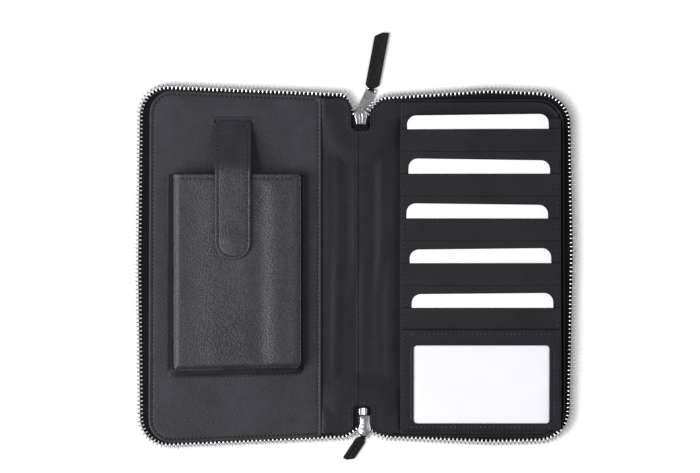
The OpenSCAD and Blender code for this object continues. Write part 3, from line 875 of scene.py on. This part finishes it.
LEFT_STITCH_IN = 2.3
STRAP_LOW, STRAP_HIGH = box_mm("strap_outer")
STRAP_HALF = (STRAP_HIGH[0] - STRAP_LOW[0]) / 2
SLIT_Y = joint_mm("strap_lift")[1]


def panel_rise(x, y, d):
    """A turned rim, the stitch's pull and a faint softness across the field."""
    rim = 0.30 * hump(d - 1.0, 1.1)
    groove = -0.20 * hump(d - LEFT_STITCH_IN, 0.9)
    field = smooth((d - 3) / 16) * (0.10 + 0.16 * waves(x, y, 21, 90) + 0.05 * waves(x, y, 8, 22))
    return rim + groove + field


def build_left_panel():
    b = Builder()
    loop = loop_of(LEFT_PANEL, 14)
    left, right = STRAP_LOW[0] - 0.45, STRAP_HIGH[0] + 0.45
    low, high = SLIT_Y - 0.55, SLIT_Y + 1.15
    slit = box_loop(left, low, right, high, 0.4, 5)
    soft_sheet(b, [loop, slit], PANEL_LOW, PANEL_TOP - PANEL_LOW, top=panel_rise,
               r=0.4, lines=(1.0, 1.7, 2.3, 2.9, 3.6),
               step=3.6)
    b.piece("left_panel_leather", INNER, "inner_leather", "left_cover", "left_panel")


def panel_line(corners, inset, z, parts=14):
    """A closed stitching line at an inset from a panel's edge."""
    loop = resample(loop_of(corners, parts), 1.0, closed=True)
    normal = left_normals(loop, closed=True)
    p = loop + normal * inset
    p = p[distance_to(p, loop) > inset - 0.05]
    p = np.vstack([p, p[:1]])
    return np.column_stack([p, np.full(len(p), z)])


def build_left_stitches():
    seam = Seam()
    seam.row(panel_line(LEFT_PANEL, LEFT_STITCH_IN, PANEL_TOP - 0.02))
    seam.make("left_panel", "left_cover")


FACE_LOW, FACE_HIGH = box_mm("pocket_face")
FACE_TOP = FACE_HIGH[2]
FACE_LOW[0] += 0.6  # the leather face rolls a little off the solid that stands for it
FACE_HIGH[0] += 1.7
FACE_LOW[1] -= 1.6
FACE_SLANT = 1.8  # the pocket's bottom edge runs up towards the spine
FACE = [(FACE_LOW[0], FACE_HIGH[1], 1.6), (FACE_HIGH[0], FACE_HIGH[1], 2.4),
        (FACE_HIGH[0], FACE_LOW[1] + FACE_SLANT, 4), (FACE_LOW[0], FACE_LOW[1], 4)]
FOOT_LEFT = -116.2
FOOT_RIGHT = -34.6
FOOT_LOW = box_mm("pocket_bottom_gusset")[0][1]
SNAP_LOW, SNAP_HIGH = box_mm("snap_socket")
SNAP_AT = [(SNAP_LOW[k] + SNAP_HIGH[k]) / 2 for k in (0, 1)]


def face_rise(x, y, d):
    """The pocket face: rolled sides, a turned mouth and soft lengthwise swells."""
    bottom = FACE_LOW[1] + FACE_SLANT * (x - FACE_LOW[0]) / (FACE_HIGH[0] - FACE_LOW[0])
    side = np.minimum.reduce([x - FACE_LOW[0], FACE_HIGH[0] - x, y - bottom])
    roll = -1.75 * (1 - smooth(np.clip(side, 0, None) / 4.6)) ** 1.3
    mouth = FACE_HIGH[1] - y
    lip = 0.30 * hump(mouth - 1.0, 1.3) - 0.26 * hump(mouth - 2.9, 0.9)
    swell = (0.42 * hump(x + 50.5, 9.0) - 0.50 * hump(x + 60.5, 8.0)
             - 0.35 * hump(x + 101.0, 14.0) + 0.12 * waves(x, y, 31, 48))
    near_snap = 1 - hump(np.hypot(x - SNAP_AT[0], y - SNAP_AT[1]), 16.0)
    open_field = smooth(side / 9) * smooth((mouth - 2) / 8)
    return roll + lip + swell * near_snap * open_field


def build_pocket_face():
    b = Builder()
    t = FACE_HIGH[2] - FACE_LOW[2]
    soft_sheet(b, [loop_of(FACE)], FACE_LOW[2], t, top=face_rise,
               bottom=lambda x, y, d: np.minimum(face_rise(x, y, d), 0.2),
               r=0.5, lines=(0.9, 1.5, 2.2, 2.9, 3.6, 4.6), step=2.2)
    b.piece("pocket_face_leather", PEBBLED, "inner_leather", "left_cover", "pocket_face")


def gusset_loops():
    """Matching lines along the face's edge and along the wall's foot, down and round."""
    face = path_of([(FACE_LOW[0], FACE_HIGH[1] - 0.4, 0), (FACE_LOW[0], FACE_LOW[1], 4),
                    (FACE_HIGH[0], FACE_LOW[1] + FACE_SLANT, 4),
                    (FACE_HIGH[0], FACE_HIGH[1] - 0.4, 0)], 12)
    foot = path_of([(FOOT_LEFT, FACE_HIGH[1] - 0.4, 0), (FOOT_LEFT, FOOT_LOW, 4),
                    (FOOT_RIGHT, FOOT_LOW + FACE_SLANT, 4),
                    (FOOT_RIGHT, FACE_HIGH[1] - 0.4, 0)], 12)
    return refine(face), refine(foot)


def refine(points):
    """Extra points on the long straight runs, the same number on matching lines."""
    out = [points[0]]
    for a, b in zip(points, points[1:]):
        parts = 30 if np.linalg.norm(b - a) > 20 else 1
        out += [a + (b - a) * k / parts for k in range(1, parts + 1)]
    return np.array(out)


def build_gusset():
    """The pocket's bellows wall with its sewn foot."""
    face, foot = gusset_loops()
    top = FACE_LOW[2] - 0.6
    base = PANEL_TOP + 0.02
    outer = [(0.02, top), (0.10, top - 1.0), (0.18, top - 2.6), (0.16, top - 4.2),
             (0.34, top - 5.6), (0.72, base + 1.3), (0.98, base + 0.62), (1.18, base + 0.50),
             (1.24, base + 0.46), (1.32, base + 0.25), (1.28, base)]
    inner = [(0.30, base), (0.22, base + 0.9), (-0.08, top - 5.4), (-0.24, top - 4.2),
             (-0.20, top - 2.6), (-0.22, top - 1.0), (-0.22, top)]
    section = outer + inner
    sloped = ([(0.02, top)]
              + [(share, base + (top - base) * (1 - share))
                 for share in (0.14, 0.28, 0.42, 0.56, 0.72, 0.88)]
              + [(1.02, base + 0.50), (1.10, base + 0.46), (1.16, base + 0.25), (1.12, base)]
              + inner)
    rows = []
    for k in range(len(face)):
        step = foot[k] - face[k]
        length = np.linalg.norm(step)
        aim = step / length
        low = abs(aim[1])
        for (side_share, side_z), (low_share, low_z) in zip(section, sloped):
            share = side_share + (low_share - side_share) * low
            z = side_z + (low_z - side_z) * low
            reach = share * length if share <= 1 else length + (share - 1) * 3.4
            sag = 0.14 * math.sin(k * 0.55) if 0 < share < 0.8 else 0
            p = face[k] + aim * (reach + sag)
            rows.append((p[0], p[1], z))
    n = len(section)
    b = Builder()
    b.add(rows, grid_faces(len(face), n, wrap_columns=True))
    b.add(rows[:n], [list(range(n))])
    b.add(rows[-n:], [list(range(n))])
    # Painted shade: the side walls take the darker lining leather to stand for the shade on them;
    # the faces of the bottom run take the pocket's own leather.
    piece = b.make("pocket_gusset_leather", LINING, "dark_leather")
    piece.data.materials.append(PEBBLED)
    for face_of_wall in piece.data.polygons:
        if face_of_wall.center.y < (FACE_LOW[1] + 1.2) * MM:
            face_of_wall.material_index = 1
    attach(piece, "left_cover")
    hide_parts("pocket_left_gusset", "pocket_right_gusset", "pocket_bottom_gusset")


def build_pocket_stitches():
    seam = Seam()
    face, foot = gusset_loops()
    aim = foot - face
    aim = aim / np.linalg.norm(aim, axis=1)[:, None]
    sewn = foot - aim * 0.1
    seam.row(np.column_stack([sewn, np.full(len(sewn), PANEL_TOP + 0.50)]))
    x = np.linspace(FACE_LOW[0] + 3.2, FACE_HIGH[0] - 3.2, 60)
    y = np.full_like(x, FACE_HIGH[1] - 2.9)
    z = FACE_TOP + face_rise(x, y, 0 * x) + 0.04
    seam.row(np.column_stack([x, y, z]))
    seam.make("pocket", "left_cover")


UNDER_PLY, OVER_PLY = 0.6, 0.9  # thicknesses of the strap's two plies
STRAP_FLAT_Z = box_mm("strap_lining")[1][2] - UNDER_PLY
STRAP_STITCH_IN = 2.0


def strap_path():
    """The strap's underside as (y, z): out of the slit, up and over the pocket's mouth."""
    start = np.array([SLIT_Y - 0.25, PANEL_TOP + 0.05])
    bends = [(start[0], start[1], 0), (SLIT_Y - 3.4, PANEL_TOP + 0.9, 9),
             (FACE_HIGH[1] + 3.2, STRAP_FLAT_Z, 17), (STRAP_LOW[1], STRAP_FLAT_Z, 0)]
    return resample(path_of(bends, 16), 0.6)


STRAP_LINE = strap_path()
STRAP_AT = stations(STRAP_LINE)[1]
STRAP_L = STRAP_AT[-1]
STRAP_UP = -left_normals(STRAP_LINE)


def on_strap(x, s, w):
    """A point at s along the strap and w above its underside."""
    y = np.interp(s, STRAP_AT, STRAP_LINE[:, 0])
    z = np.interp(s, STRAP_AT, STRAP_LINE[:, 1])
    ny = np.interp(s, STRAP_AT, STRAP_UP[:, 0])
    nz = np.interp(s, STRAP_AT, STRAP_UP[:, 1])
    return np.stack([x, y + ny * w, z + nz * w], 1)


SNAP_S = STRAP_L - (SNAP_AT[1] - STRAP_LOW[1])


def strap_loop(inset):
    left, right = STRAP_LOW[0] + inset, STRAP_HIGH[0] - inset
    r = STRAP_HALF - inset - 0.4
    return box_loop(left, 0.05, right, STRAP_L - inset, 0.3, 18, r)


def strap_rise(x, s, d):
    """Turned edge, stitch pull, the snap's bump and a soft crown."""
    rim = 0.10 * hump(d - 0.8, 0.9)
    groove = -0.20 * hump(d - STRAP_STITCH_IN, 0.8)
    snap = 0.34 * smooth(1.25 - np.hypot(x - SNAP_AT[0], s - SNAP_S) / 8.0)
    crown = 0.10 * smooth((d - 2.4) / 5) + 0.06 * waves(x, s, 77, 34) * smooth(d / 5)
    pared = -0.55 * (1 - smooth(s / 3.5))
    return rim + groove + snap + crown + pared


def build_strap():
    b = Builder()
    soft_sheet(b, [strap_loop(0.15)], 0.0, UNDER_PLY, 0.3, step=2.6, place=on_strap)
    b.piece("strap_lining_leather", LINING, "inner_leather", "closure_strap", "strap_lining")
    b = Builder()
    soft_sheet(b, [strap_loop(0.0)], UNDER_PLY, OVER_PLY, 0.42, top=strap_rise,
               lines=(0.8, 1.4, 2.0, 2.6), step=2.0, place=on_strap)
    b.piece("strap_outer_leather", PEBBLED, "inner_leather", "closure_strap", "strap_outer")
    loop = resample(strap_loop(0.0), 0.8, closed=True)
    p = loop + left_normals(loop, closed=True) * STRAP_STITCH_IN
    p = p[distance_to(p, loop) > STRAP_STITCH_IN - 0.05]
    root_end = int(np.argmin(p[:, 1] - 0.01 * p[:, 0]))
    p = np.roll(p, -root_end, axis=0)
    p = p[p[:, 1] > 2.6]
    rise = strap_rise(p[:, 0], p[:, 1], np.full(len(p), STRAP_STITCH_IN))
    seam = Seam()
    seam.row(on_strap(p[:, 0], p[:, 1], UNDER_PLY + OVER_PLY + rise + 0.05), 2.5)
    seam.make("strap", "closure_strap")


build_left_panel()
build_left_stitches()
build_pocket_face()
build_gusset()
build_pocket_stitches()
build_strap()

# ---------------------------------------------------------------- right panel and slots

LEAN = math.radians(4.1)
SLOT_Z = PANEL_TOP + 0.07
SLOT_PITCH = 27.05
FIRST_MOUTH_Y = 82.7
CARD_H, CARD_HALF_W, CARD_T = 53.98, 42.8, 0.76
CARD_FOOT = 0.9  # from a slot's foot to its card's lower edge
CARD_LIFT = 0.6
MOUTH = CARD_H + CARD_FOOT - 9
BACK_REACH = CARD_H + CARD_FOOT + 5.2
FRONT_LOW, FRONT_T, BACK_T = 1.5, 0.4, 0.45
FILM_T, FRAME_T = 0.15, 0.55
SLOT_X0, SLOT_X1 = box_mm("slot_back_1")[0][0], box_mm("slot_back_1")[1][0]
SEAM_X0, SEAM_X1 = 26.8, 119.4


def foot_y(number):
    return FIRST_MOUTH_Y - SLOT_PITCH * (number - 1) - MOUTH * math.cos(LEAN)


def in_slot(number):
    """Places a slot's own x, reach up the slot and height above its back."""
    def place(x, v, w):
        y = foot_y(number) + v * math.cos(LEAN) - w * math.sin(LEAN)
        return np.stack([x, y, SLOT_Z + v * math.sin(LEAN) + w * math.cos(LEAN)], 1)
    return place


def build_right_panel():
    def up(x, y, d):
        return 0.22 * hump(d - 0.9, 1.0) - 0.12 * hump(d - 2.2, 0.8)

    b = Builder()
    soft_sheet(b, [loop_of(RIGHT_PANEL, 14)], PANEL_LOW, PANEL_TOP - PANEL_LOW, top=up,
               r=0.4, lines=(0.9, 1.6, 2.2, 2.8),
               step=5.0)
    b.piece("right_panel_leather", SLOT, "inner_leather", "right_cover", "right_panel")


def ply_rise(free_from, seed, soft=1.0):
    """Softness in the part of a ply that nothing lies on, held down at the side seams."""
    def rise(x, v, d):
        held = smooth((x - SEAM_X0) / 9) * smooth((SEAM_X1 - x) / 9)
        free = smooth((v - free_from) / 5)
        bow = 0.20 * np.sin(math.pi * np.clip((x - SEAM_X0) / (SEAM_X1 - SEAM_X0), 0, 1))
        return soft * held * free * (bow + 0.13 * waves(x, v * 2.5, seed, 40)
                                     + 0.10 * hump(x - 92, 16))
    return rise


def ply_loop(v0, v1, slant=0.0, bow=0.0):
    """A ply's outline; its mouth may run slightly askew and bow."""
    x = np.linspace(SLOT_X1, SLOT_X0, 60)
    t = (x - SLOT_X0) / (SLOT_X1 - SLOT_X0)
    top = v1 + slant * (t - 0.5) - bow * np.sin(math.pi * t)
    upper = np.column_stack([x, top])
    lower = np.array([(SLOT_X0, v0), (SLOT_X1, v0)])
    return np.vstack([lower, upper])


MOUTH_SLANT = [0.7, 0.1, -0.2, 0.2, 0.0]


def build_slots():
    for number in range(1, 6):
        reach = CARD_H + CARD_FOOT - 2 if number == 1 else BACK_REACH
        b = Builder()
        soft_sheet(b, [ply_loop(-0.8, reach - 0.3, -0.15, 0.15)], 0.0, BACK_T,
                   top=ply_rise(MOUTH + 9.6, 40 + number, 0.12),
                   r=0.22, lines=(0.8,), step=4.0,
                   place=in_slot(number))
        b.piece("slot_back_leather_%d" % number, SLOT, "inner_leather", "right_cover",
                "slot_back_%d" % number)
        b = Builder()
        soft_sheet(b, [ply_loop(-0.8, MOUTH + 0.35, MOUTH_SLANT[number - 1] * 0.5)], FRONT_LOW,
                   FRONT_T, top=ply_rise(33.6, 60 + number),
                   bottom=ply_rise(33.6, 60 + number),
                   r=0.2, lines=(0.8,), step=4.0,
                   place=in_slot(number))
        b.piece("slot_front_leather_%d" % number, SLOT, "inner_leather", "right_cover",
                "slot_front_%d" % number)


def build_window():
    """The framed window pocket: a back, a clear film and a bound frame."""
    x0, x1 = 32.4, 114.5
    v0, v1 = 3.2, 50.5
    low = FRONT_LOW + FILM_T
    place = in_slot(6)
    b = Builder()
    soft_sheet(b, [ply_loop(-0.8, BACK_REACH - 2.5)], 0.0, BACK_T,
               r=0.22, step=6.0, place=place)
    b.piece("window_back_leather", SLOT, "inner_leather", "right_cover", "window_back")

    def up(x, v, d):
        edge = np.minimum(np.minimum(np.abs(x - x0), np.abs(x - x1)),
                          np.minimum(np.abs(v - v0), np.abs(v - v1)))
        within = (x > x0 - 3) & (x < x1 + 3) & (v > v0 - 3) & (v < v1 + 3)
        return np.where(within, 0.18 * hump(edge - 0.9, 1.1) - 0.16 * hump(edge - 2.1, 0.7), 0) \
            + 0.06 * waves(x, v, 91, 26)

    opening = box_loop(x0, v0, x1, v1, 1.6, 6)
    b = Builder()
    soft_sheet(b, [ply_loop(-0.8, BACK_REACH, 0.1, 0.1), opening], low, FRAME_T, top=up,
               r=0.26, lines=(0.9, 1.5, 2.1, 2.7), step=3.2,
               place=place)
    for x in (SLOT_X0 + 1.2, SLOT_X1 - 1.7):
        wide = 1.2 if x < 60 else 1.65
        block = box_loop(x - wide, -0.8, x + wide, BACK_REACH - 3, 0, 1)
        soft_sheet(b, [block], BACK_T, low - BACK_T, r=0.2,
                   step=6.0, place=place)
    b.piece("window_frame_leather", SLOT, "inner_leather", "right_cover", "window_frame")

    def ripple(x, v, d):
        return 0.05 * waves(x, v, 97, 34)

    b = Builder()
    soft_sheet(b, [box_loop(SEAM_X0 + 0.3, 0.2, SEAM_X1 - 1.3, v1 + 4, 0.5, 4)],
               FRONT_LOW, FILM_T, top=ripple, bottom=ripple,
               r=0.07, step=5.0, place=place)
    b.piece("window_clear_film", FILM, "film", "right_cover", "window_film")


def slot_top(x, y):
    """Height of the topmost leather at the side seams."""
    best = PANEL_TOP
    for number in range(1, 7):
        v = (y - foot_y(number)) / math.cos(LEAN)
        reach = BACK_REACH if number > 1 else CARD_H - 1.1
        if -0.8 <= v <= reach:
            front = MOUTH if number < 6 else BACK_REACH
            top = (FRONT_LOW + FRONT_T if number < 6 else 2.2) if v <= front else BACK_T
            best = max(best, SLOT_Z + v * math.sin(LEAN) + top * math.cos(LEAN))
    return best


def build_slot_stitches():
    seam = Seam()
    low_y = foot_y(6) - 0.2
    for x in (SEAM_X0, SEAM_X1 + 0.2):
        ys = np.arange(low_y + 2.6, 97.0, 0.6)
        line = np.array([(x, y, slot_top(x, y) + 0.03) for y in ys])
        breaks = np.where(np.abs(np.diff(line[:, 2])) > 0.4)[0] + 1
        for part in np.split(line, breaks):
            if len(part) > 4:
                seam.row(part, slant=0.08)
    place = in_slot(6)
    x = np.linspace(SEAM_X0 + 3, SEAM_X1 - 3, 60)
    for v, w in ((BACK_REACH - 2.4, 2.24), (1.0, 2.2)):
        seam.row(place(x, np.full_like(x, v), np.full_like(x, w)))
    seam.make("slot", "right_cover")


def build_welt():
    """Piping along the right half's outer edge."""
    path = path_of([(16.5, 100.4, 0), (122.9, 100.6, 15), (123.7, -102.9, 15), (17.5, -102.6, 0)],
                   16)
    path = resample(path, 1.4)
    z = np.full(len(path), TAPE_HIGH + 0.42)
    b = Builder()
    sweep(b, np.column_stack([path, z]), ellipse(0.75, 0.62, 0.0, 12))
    b.piece("right_edge_piping", SLOT, "inner_leather", "right_cover")


def build_card(name, number, left, turn, material):
    """A blank ID-1 card with softened edges, in its slot."""
    w, h = CARD_HALF_W, CARD_H / 2
    cosine, sine = math.cos(math.radians(turn)), math.sin(math.radians(turn))
    slot_place = in_slot(number)

    def place(x, y, z):
        return slot_place(left + w + x * cosine - y * sine,
                          CARD_FOOT + h + x * sine + y * cosine, z)

    loop = loop_of([(w, h, 5.5), (-w, h, 5.5), (-w, -h, 5.5), (w, -h, 5.5)], 12)
    b = Builder()
    soft_sheet(b, [loop], CARD_LIFT, CARD_T, 0.16, step=9.0, place=place)
    b.piece("blank_" + name, material, "card", name, name)


build_right_panel()
build_slots()
build_window()
build_slot_stitches()
build_welt()
for k, (left, turn) in enumerate(zip([28.8, 29.1, 27.9, 30.3, 31.5], [0.7, -0.8, -0.7, 0.6, 0.5])):
    build_card("card_%d" % (k + 1), k + 1, left, turn, CARD)
build_card("id_insert", 6, 30.4, 0.0, INSERT)

# ---------------------------------------------------------------- sliders, stop and pulls

SLIDER_L, SLIDER_W, NECK_W = 12.2, 7.4, 5.6


def slider_outline(steps=14):
    """Plan of a slider, shoulders towards +Y."""
    r = SLIDER_W / 2
    y1 = SLIDER_L / 2 - r
    arc = [(r * math.cos(a), y1 + r * math.sin(a)) for a in np.linspace(0, math.pi, steps)]
    return loop_of([(-NECK_W / 2, -SLIDER_L / 2, 0.7), (NECK_W / 2, -SLIDER_L / 2, 0.7),
                    (NECK_W / 2, -SLIDER_L / 6, 2.0), (r, y1 - 0.7, 1.5)]
                   + [(x, y, 0) for x, y in arc] + [(-r, y1 - 0.7, 1.5),
                                                   (-NECK_W / 2, -SLIDER_L / 6, 2.0)], 5)


def turned_place(at, turn):
    c, s = math.cos(math.radians(turn)), math.sin(math.radians(turn))

    def place(x, y, z):
        return np.stack([at[0] + x * c - y * s, at[1] + x * s + y * c, z], 1)
    return place


def rod(build, place, a, b, r, sides=14):
    """A round bar between two points, with softened ends."""
    a, b = np.array(a, float), np.array(b, float)
    heading = unit(b - a)
    side = unit(np.cross(heading, [0, 0, 1])) if abs(heading[2]) < 0.9 else np.array([1, 0, 0])
    up = np.cross(heading, side)
    rings = []
    length = np.linalg.norm(b - a)
    for s, size in ((0, 0.7), (0.12, 1), (length - 0.12, 1), (length, 0.7)):
        for k in range(sides):
            t = 2 * math.pi * k / sides
            rings.append(a + heading * s + (side * math.cos(t) + up * math.sin(t)) * r * size)
    rings = np.array(rings)
    build.add(place(rings[:, 0], rings[:, 1], rings[:, 2]),
              tube_faces(4, sides))


def build_slider(node, turn, slit):
    low, high = box_mm(node)
    at = [(low[0] + high[0]) / 2, (low[1] + high[1]) / 2]
    place = turned_place(at, turn)
    low_z, high_z, t = 1.5, 4.2, 0.7
    outline = slider_outline()

    def dome(x, y, d):
        return 0.42 * smooth((d - 0.4) / 2.6) - 0.12 * hump(d - 1.0, 0.5)

    b = Builder()
    soft_sheet(b, [outline], low_z, t, r=0.25, step=1.5, place=place,
               along=0.6)
    loops = [outline]
    if slit:
        loops.append(box_loop(-0.55, -2.8, 0.55, 3.2, 0.5, 4))
    soft_sheet(b, loops, high_z, t, top=dome, r=0.3, lines=(0.7, 1.0, 1.4),
               step=1.0, place=place, along=0.5)
    post = loop_of([(-0.9, SLIDER_L / 2 - 3.1, 0.4), (0.9, SLIDER_L / 2 - 3.1, 0.4),
                    (1.0, SLIDER_L / 2 - 0.9, 0.6), (-1.0, SLIDER_L / 2 - 0.9, 0.6)], 4)
    soft_sheet(b, [post], low_z + t - 0.1, high_z - low_z - t + 0.2,
               r=0.1, step=1.0, place=place, along=0.4)
    # the bail under the lower plate, bent at both ends
    bail = path_of([(-SLIDER_L / 2 + 1.2, low_z + 0.2, 0), (-SLIDER_L / 2 + 1.2, 0.42, 0.6),
                    (SLIDER_L / 2 - 1.2, 0.42, 0.6), (SLIDER_L / 2 - 1.2, low_z + 0.2, 0)], 6)
    half_w, half_t = 0.75, 0.2
    normal = left_normals(bail)
    rows = []
    for p, q in zip(bail, normal):
        for x, side in ((-half_w, -half_t), (-half_w + 0.1, -half_t - 0.02), (half_w, -half_t),
                        (half_w, half_t), (half_w - 0.1, half_t + 0.02), (-half_w, half_t)):
            yz = p + q * side
            rows.append((x, yz[0], yz[1]))
    rows = np.array(rows)
    b.add(place(rows[:, 0], rows[:, 1], rows[:, 2]),
          tube_faces(len(bail), 6))
    b.piece(node + "_metal", NICKEL, "nickel", "spine", node, sharp=50)


def build_stop():
    """The bottom stop: a crimped metal block with a groove down its middle."""
    low, high = box_mm("bottom_stop")
    x0, y0, x1, y1 = low[0], low[1], high[0], high[1]
    mid = (x0 + x1) / 2

    def up(x, y, d):
        return -0.40 * hump(x - mid, 0.9)

    b = Builder()
    soft_sheet(b, [box_loop(x0, y0, x1, y1, 0.7, 5)],
               low[2], high[2] - low[2], top=up, edge=leather_edge(1.2, 0.35), step=0.5,
               along=0.5)
    b.piece("bottom_stop_metal", NICKEL, "nickel", "spine", "bottom_stop", sharp=50)


PIVOT_Z = 1.05
LINK_W, LINK_T = 6.4, 0.65


def build_link(name, at, turn, length):
    """A flat link: foot bar, eye, plate, and a fork with a cross-bar."""
    place = turned_place(at, turn)
    half = LINK_W / 2
    z0 = PIVOT_Z - LINK_T / 2
    eye_l = 3.2
    b = Builder()
    if length > 6:
        outline = box_loop(-half, 0.1, half, length - 0.2, 0.5, 5, 0.6)
        eye = box_loop(-half + 1.3, 0.85, half - 1.3, eye_l, 0.7, 5, 0.9)
        fork = box_loop(-half + 0.8, length - 1.2, half - 0.8, length - 0.45, 0.3, 4, 0.1)

        def up(x, y, d):
            plate = smooth((y - eye_l) / 1.2) * smooth((length - 1.4 - y) / 1.2)
            return -0.12 * smooth((d - 1.0) / 0.6) * plate
        soft_sheet(b, [outline, eye, fork], z0, LINK_T, top=up, r=0.25,
                   lines=(1.0, 1.6), step=1.2, place=place, along=0.5)
    else:
        for x in (-half, half - 0.9):
            side = box_loop(x, 0.1, x + 0.9, length, 0.3, 4)
            soft_sheet(b, [side], z0, LINK_T, r=0.25, step=0.8,
                       place=place, along=0.4)
    rod(b, place, (-half + 0.1, 0.15, PIVOT_Z), (half - 0.1, 0.15, PIVOT_Z), 0.3)
    rod(b, place, (-half + 0.1, length, PIVOT_Z), (half - 0.1, length, PIVOT_Z), 0.42)
    b.piece(name + "_link_metal", NICKEL, "nickel", name + "_link", name + "_pull_link",
            sharp=50)


def build_tab(name, at, turn, length, tab_turn, half, roll):
    """A strip of leather folded over the cross-bar, its long edges turned in."""
    loop_place = turned_place(at, turn)
    strip_place = turned_place(at, tab_turn)
    t = 1.2
    loop_r = 0.95  # of the leather round the cross-bar
    z0 = PIVOT_Z - loop_r
    b = Builder()
    sides, width = 20, 3.4
    rings = []
    for x, shrink in ((-width / 2, 0.06), (-width / 2 + 0.15, 0), (width / 2 - 0.15, 0),
                      (width / 2, 0.06)):
        for r in (loop_r - shrink, 0.5 + shrink * 0.5):
            rings.append([(x, r * math.cos(a), PIVOT_Z + r * math.sin(a))
                          for a in np.linspace(0, 2 * math.pi, sides, endpoint=False)])
    order = [0, 2, 4, 6, 7, 5, 3, 1]
    ring_points = np.array([p for k in order for p in rings[k]])
    b.add(loop_place(ring_points[:, 0], ring_points[:, 1], ring_points[:, 2]),
          grid_faces(len(order), sides, wrap_rows=True, wrap_columns=True))
    outline = loop_of([(-half * 0.55, 0.6, 0.4), (1.7, 1.1, 0.3), (half, 3.0, 0.8),
                       (half, length, 0.5), (0.3, length - 0.4, 0.4),
                       (-half, length - 3.4, 0.8), (-half, 2.4, 0.6)], 6)

    def up(x, y, d):
        crease = -0.22 * hump(x, 0.8)
        rim = 0.16 * hump(d - 0.9, 1.0)
        rolled = roll * (0.45 * hump(np.abs(x) - 1.5, 0.9) + 0.25 * smooth(d / 2))
        return (rim + crease + rolled + 0.10 * waves(x * 2, y, 15, 9) * smooth(d)) \
            * smooth((y - 3) / 3)

    soft_sheet(b, [outline], z0, t, top=up, r=0.5, lines=(0.9, 1.6),
               step=1.3, place=strip_place, along=0.8)
    b.piece(name + "_tab_leather", TAB, "outer_leather", name + "_tab", name + "_pull_tab")


def build_tape_cover():
    """The sewn-down end of the tape, over the top slider's lower end."""
    loop = loop_of([(-3.9, 81.9, 0.4), (4.7, 81.9, 0.4), (4.7, 85.9, 0.9), (-3.9, 86.2, 0.9)], 5)

    def lie(x, y, d):
        return -0.35 * (1 - smooth((y - 81.9) / 2.0)) + 0.05 * waves(x, y, 41, 5)

    b = Builder()
    soft_sheet(b, [loop], 5.35, 0.4, top=lie, bottom=lie, r=0.18,
               step=0.8, along=0.5)
    b.piece("top_tape_cover", TAPE, "tape", "spine")


def build_notch_seam():
    """Stitching round both notches, just outside their turned edges."""
    seam = Seam()
    for line, outward in ((NOTCHES, -1), (LOW_NOTCHES, 1)):
        line = resample(line, 0.7)
        p = line + left_normals(line) * outward * 1.7
        p = p[(distance_to(p, line, closed=False) > 1.6) & (np.abs(p[:, 1]) < 97)]
        seam.row(np.column_stack([p, lining_top(p[:, 0], p[:, 1]) + 0.02]), 2.4, 1.5)
    seam.make("notch", "spine")


build_tape_cover()
build_notch_seam()
build_slider("top_slider", 0, True)
build_slider("bottom_slider", 180, False)
build_stop()
build_notch_welt("top_notch_edge", NOTCHES)
build_notch_welt("bottom_notch_edge", LOW_NOTCHES)
for name, turn, length, tab_length, tab_turn, half, roll in (
        ("top", -24.5, 15.6, 35.8, -10.7, 4.2, 0), ("bottom", 160, 3.5, 17.5, 146.5, 3.1, 1)):
    bail = joint_mm(name + "_link_swing")
    head = joint_mm(name + "_tab_swing")
    build_link(name, bail[:2], turn, length)
    build_tab(name, head[:2], turn, tab_length, tab_turn, half, roll)

# ---------------------------------------------------------------- nodes kept from the frame

KEPT = {
    "spine_filler": FILLER, "left_board": BOARD, "right_board": BOARD,
    "top_tape_end": TAPE, "bottom_tape_end": TAPE, "strap_anchor": INNER,
    "pocket_magnet": STEEL, "snap_socket": NICKEL, "snap_stud": NICKEL, "slot_seams": LINING,
}
for node_name, material in KEPT.items():
    node = frame["nodes"][node_name]
    node.data.materials.clear()
    node.data.materials.append(material)

# ---------------------------------------------------------------- floor, light and camera


def build_stage():
    mesh = bpy.data.meshes.new("floor")
    size = 3.0
    mesh.from_pydata([(-size, -size, 0), (size, -size, 0), (size, size, 0), (-size, size, 0)],
                     [], [(0, 1, 2, 3)])
    n = Nodes("pale_floor")
    grain = n.noise(120, 3.0)
    base = n.ramp(grain, [(0.3, (0.93, 0.93, 0.93)), (0.7, (0.95, 0.95, 0.95))])
    mesh.materials.append(n.set(base=base, rough=0.9, specular=0.1))
    floor = bpy.data.objects.new("floor", mesh)
    floor.location.z = -0.0004
    bpy.context.scene.collection.objects.link(floor)


def area_light(name, at, aim, size, power):
    light = bpy.data.lights.new(name, "AREA")
    light.energy = power
    light.shape = "RECTANGLE"
    light.size = size
    light.size_y = size
    lamp = bpy.data.objects.new(name, light)
    lamp.location = at
    lamp.rotation_euler = (Vector(aim) - Vector(at)).to_track_quat("-Z", "Y").to_euler()
    bpy.context.scene.collection.objects.link(lamp)


def build_light():
    world = bpy.data.worlds.new("studio")
    bpy.context.scene.world = world
    world.use_nodes = True
    background = world.node_tree.nodes["Background"]
    background.inputs["Color"].default_value = (1, 1, 1, 1)
    background.inputs["Strength"].default_value = 0.27
    bpy.context.scene.view_settings.view_transform = "Standard"
    area_light("key", (-1.2, -0.38, 1.35), (-0.03, 0, 0), 1.2, 40)
    area_light("fill", (1.3, 0.35, 1.5), (0.02, 0, 0), 1.3, 12)


LENS, SENSOR = 250, 36
VIEW_W = 0.4242  # width of the view at the wallet


def build_camera():
    """Straight down on the open wallet, framed as photographed."""
    data = bpy.data.cameras.new("camera")
    data.lens = LENS
    data.sensor_width = SENSOR
    data.clip_start, data.clip_end = 0.05, 20
    camera = bpy.data.objects.new("camera", data)
    camera.location = (-0.00606, 0.0179, VIEW_W * LENS / SENSOR + 0.004)
    camera.rotation_euler = (0, 0, 0)
    bpy.context.scene.collection.objects.link(camera)
    bpy.context.scene.camera = camera


build_stage()
build_light()
build_camera()
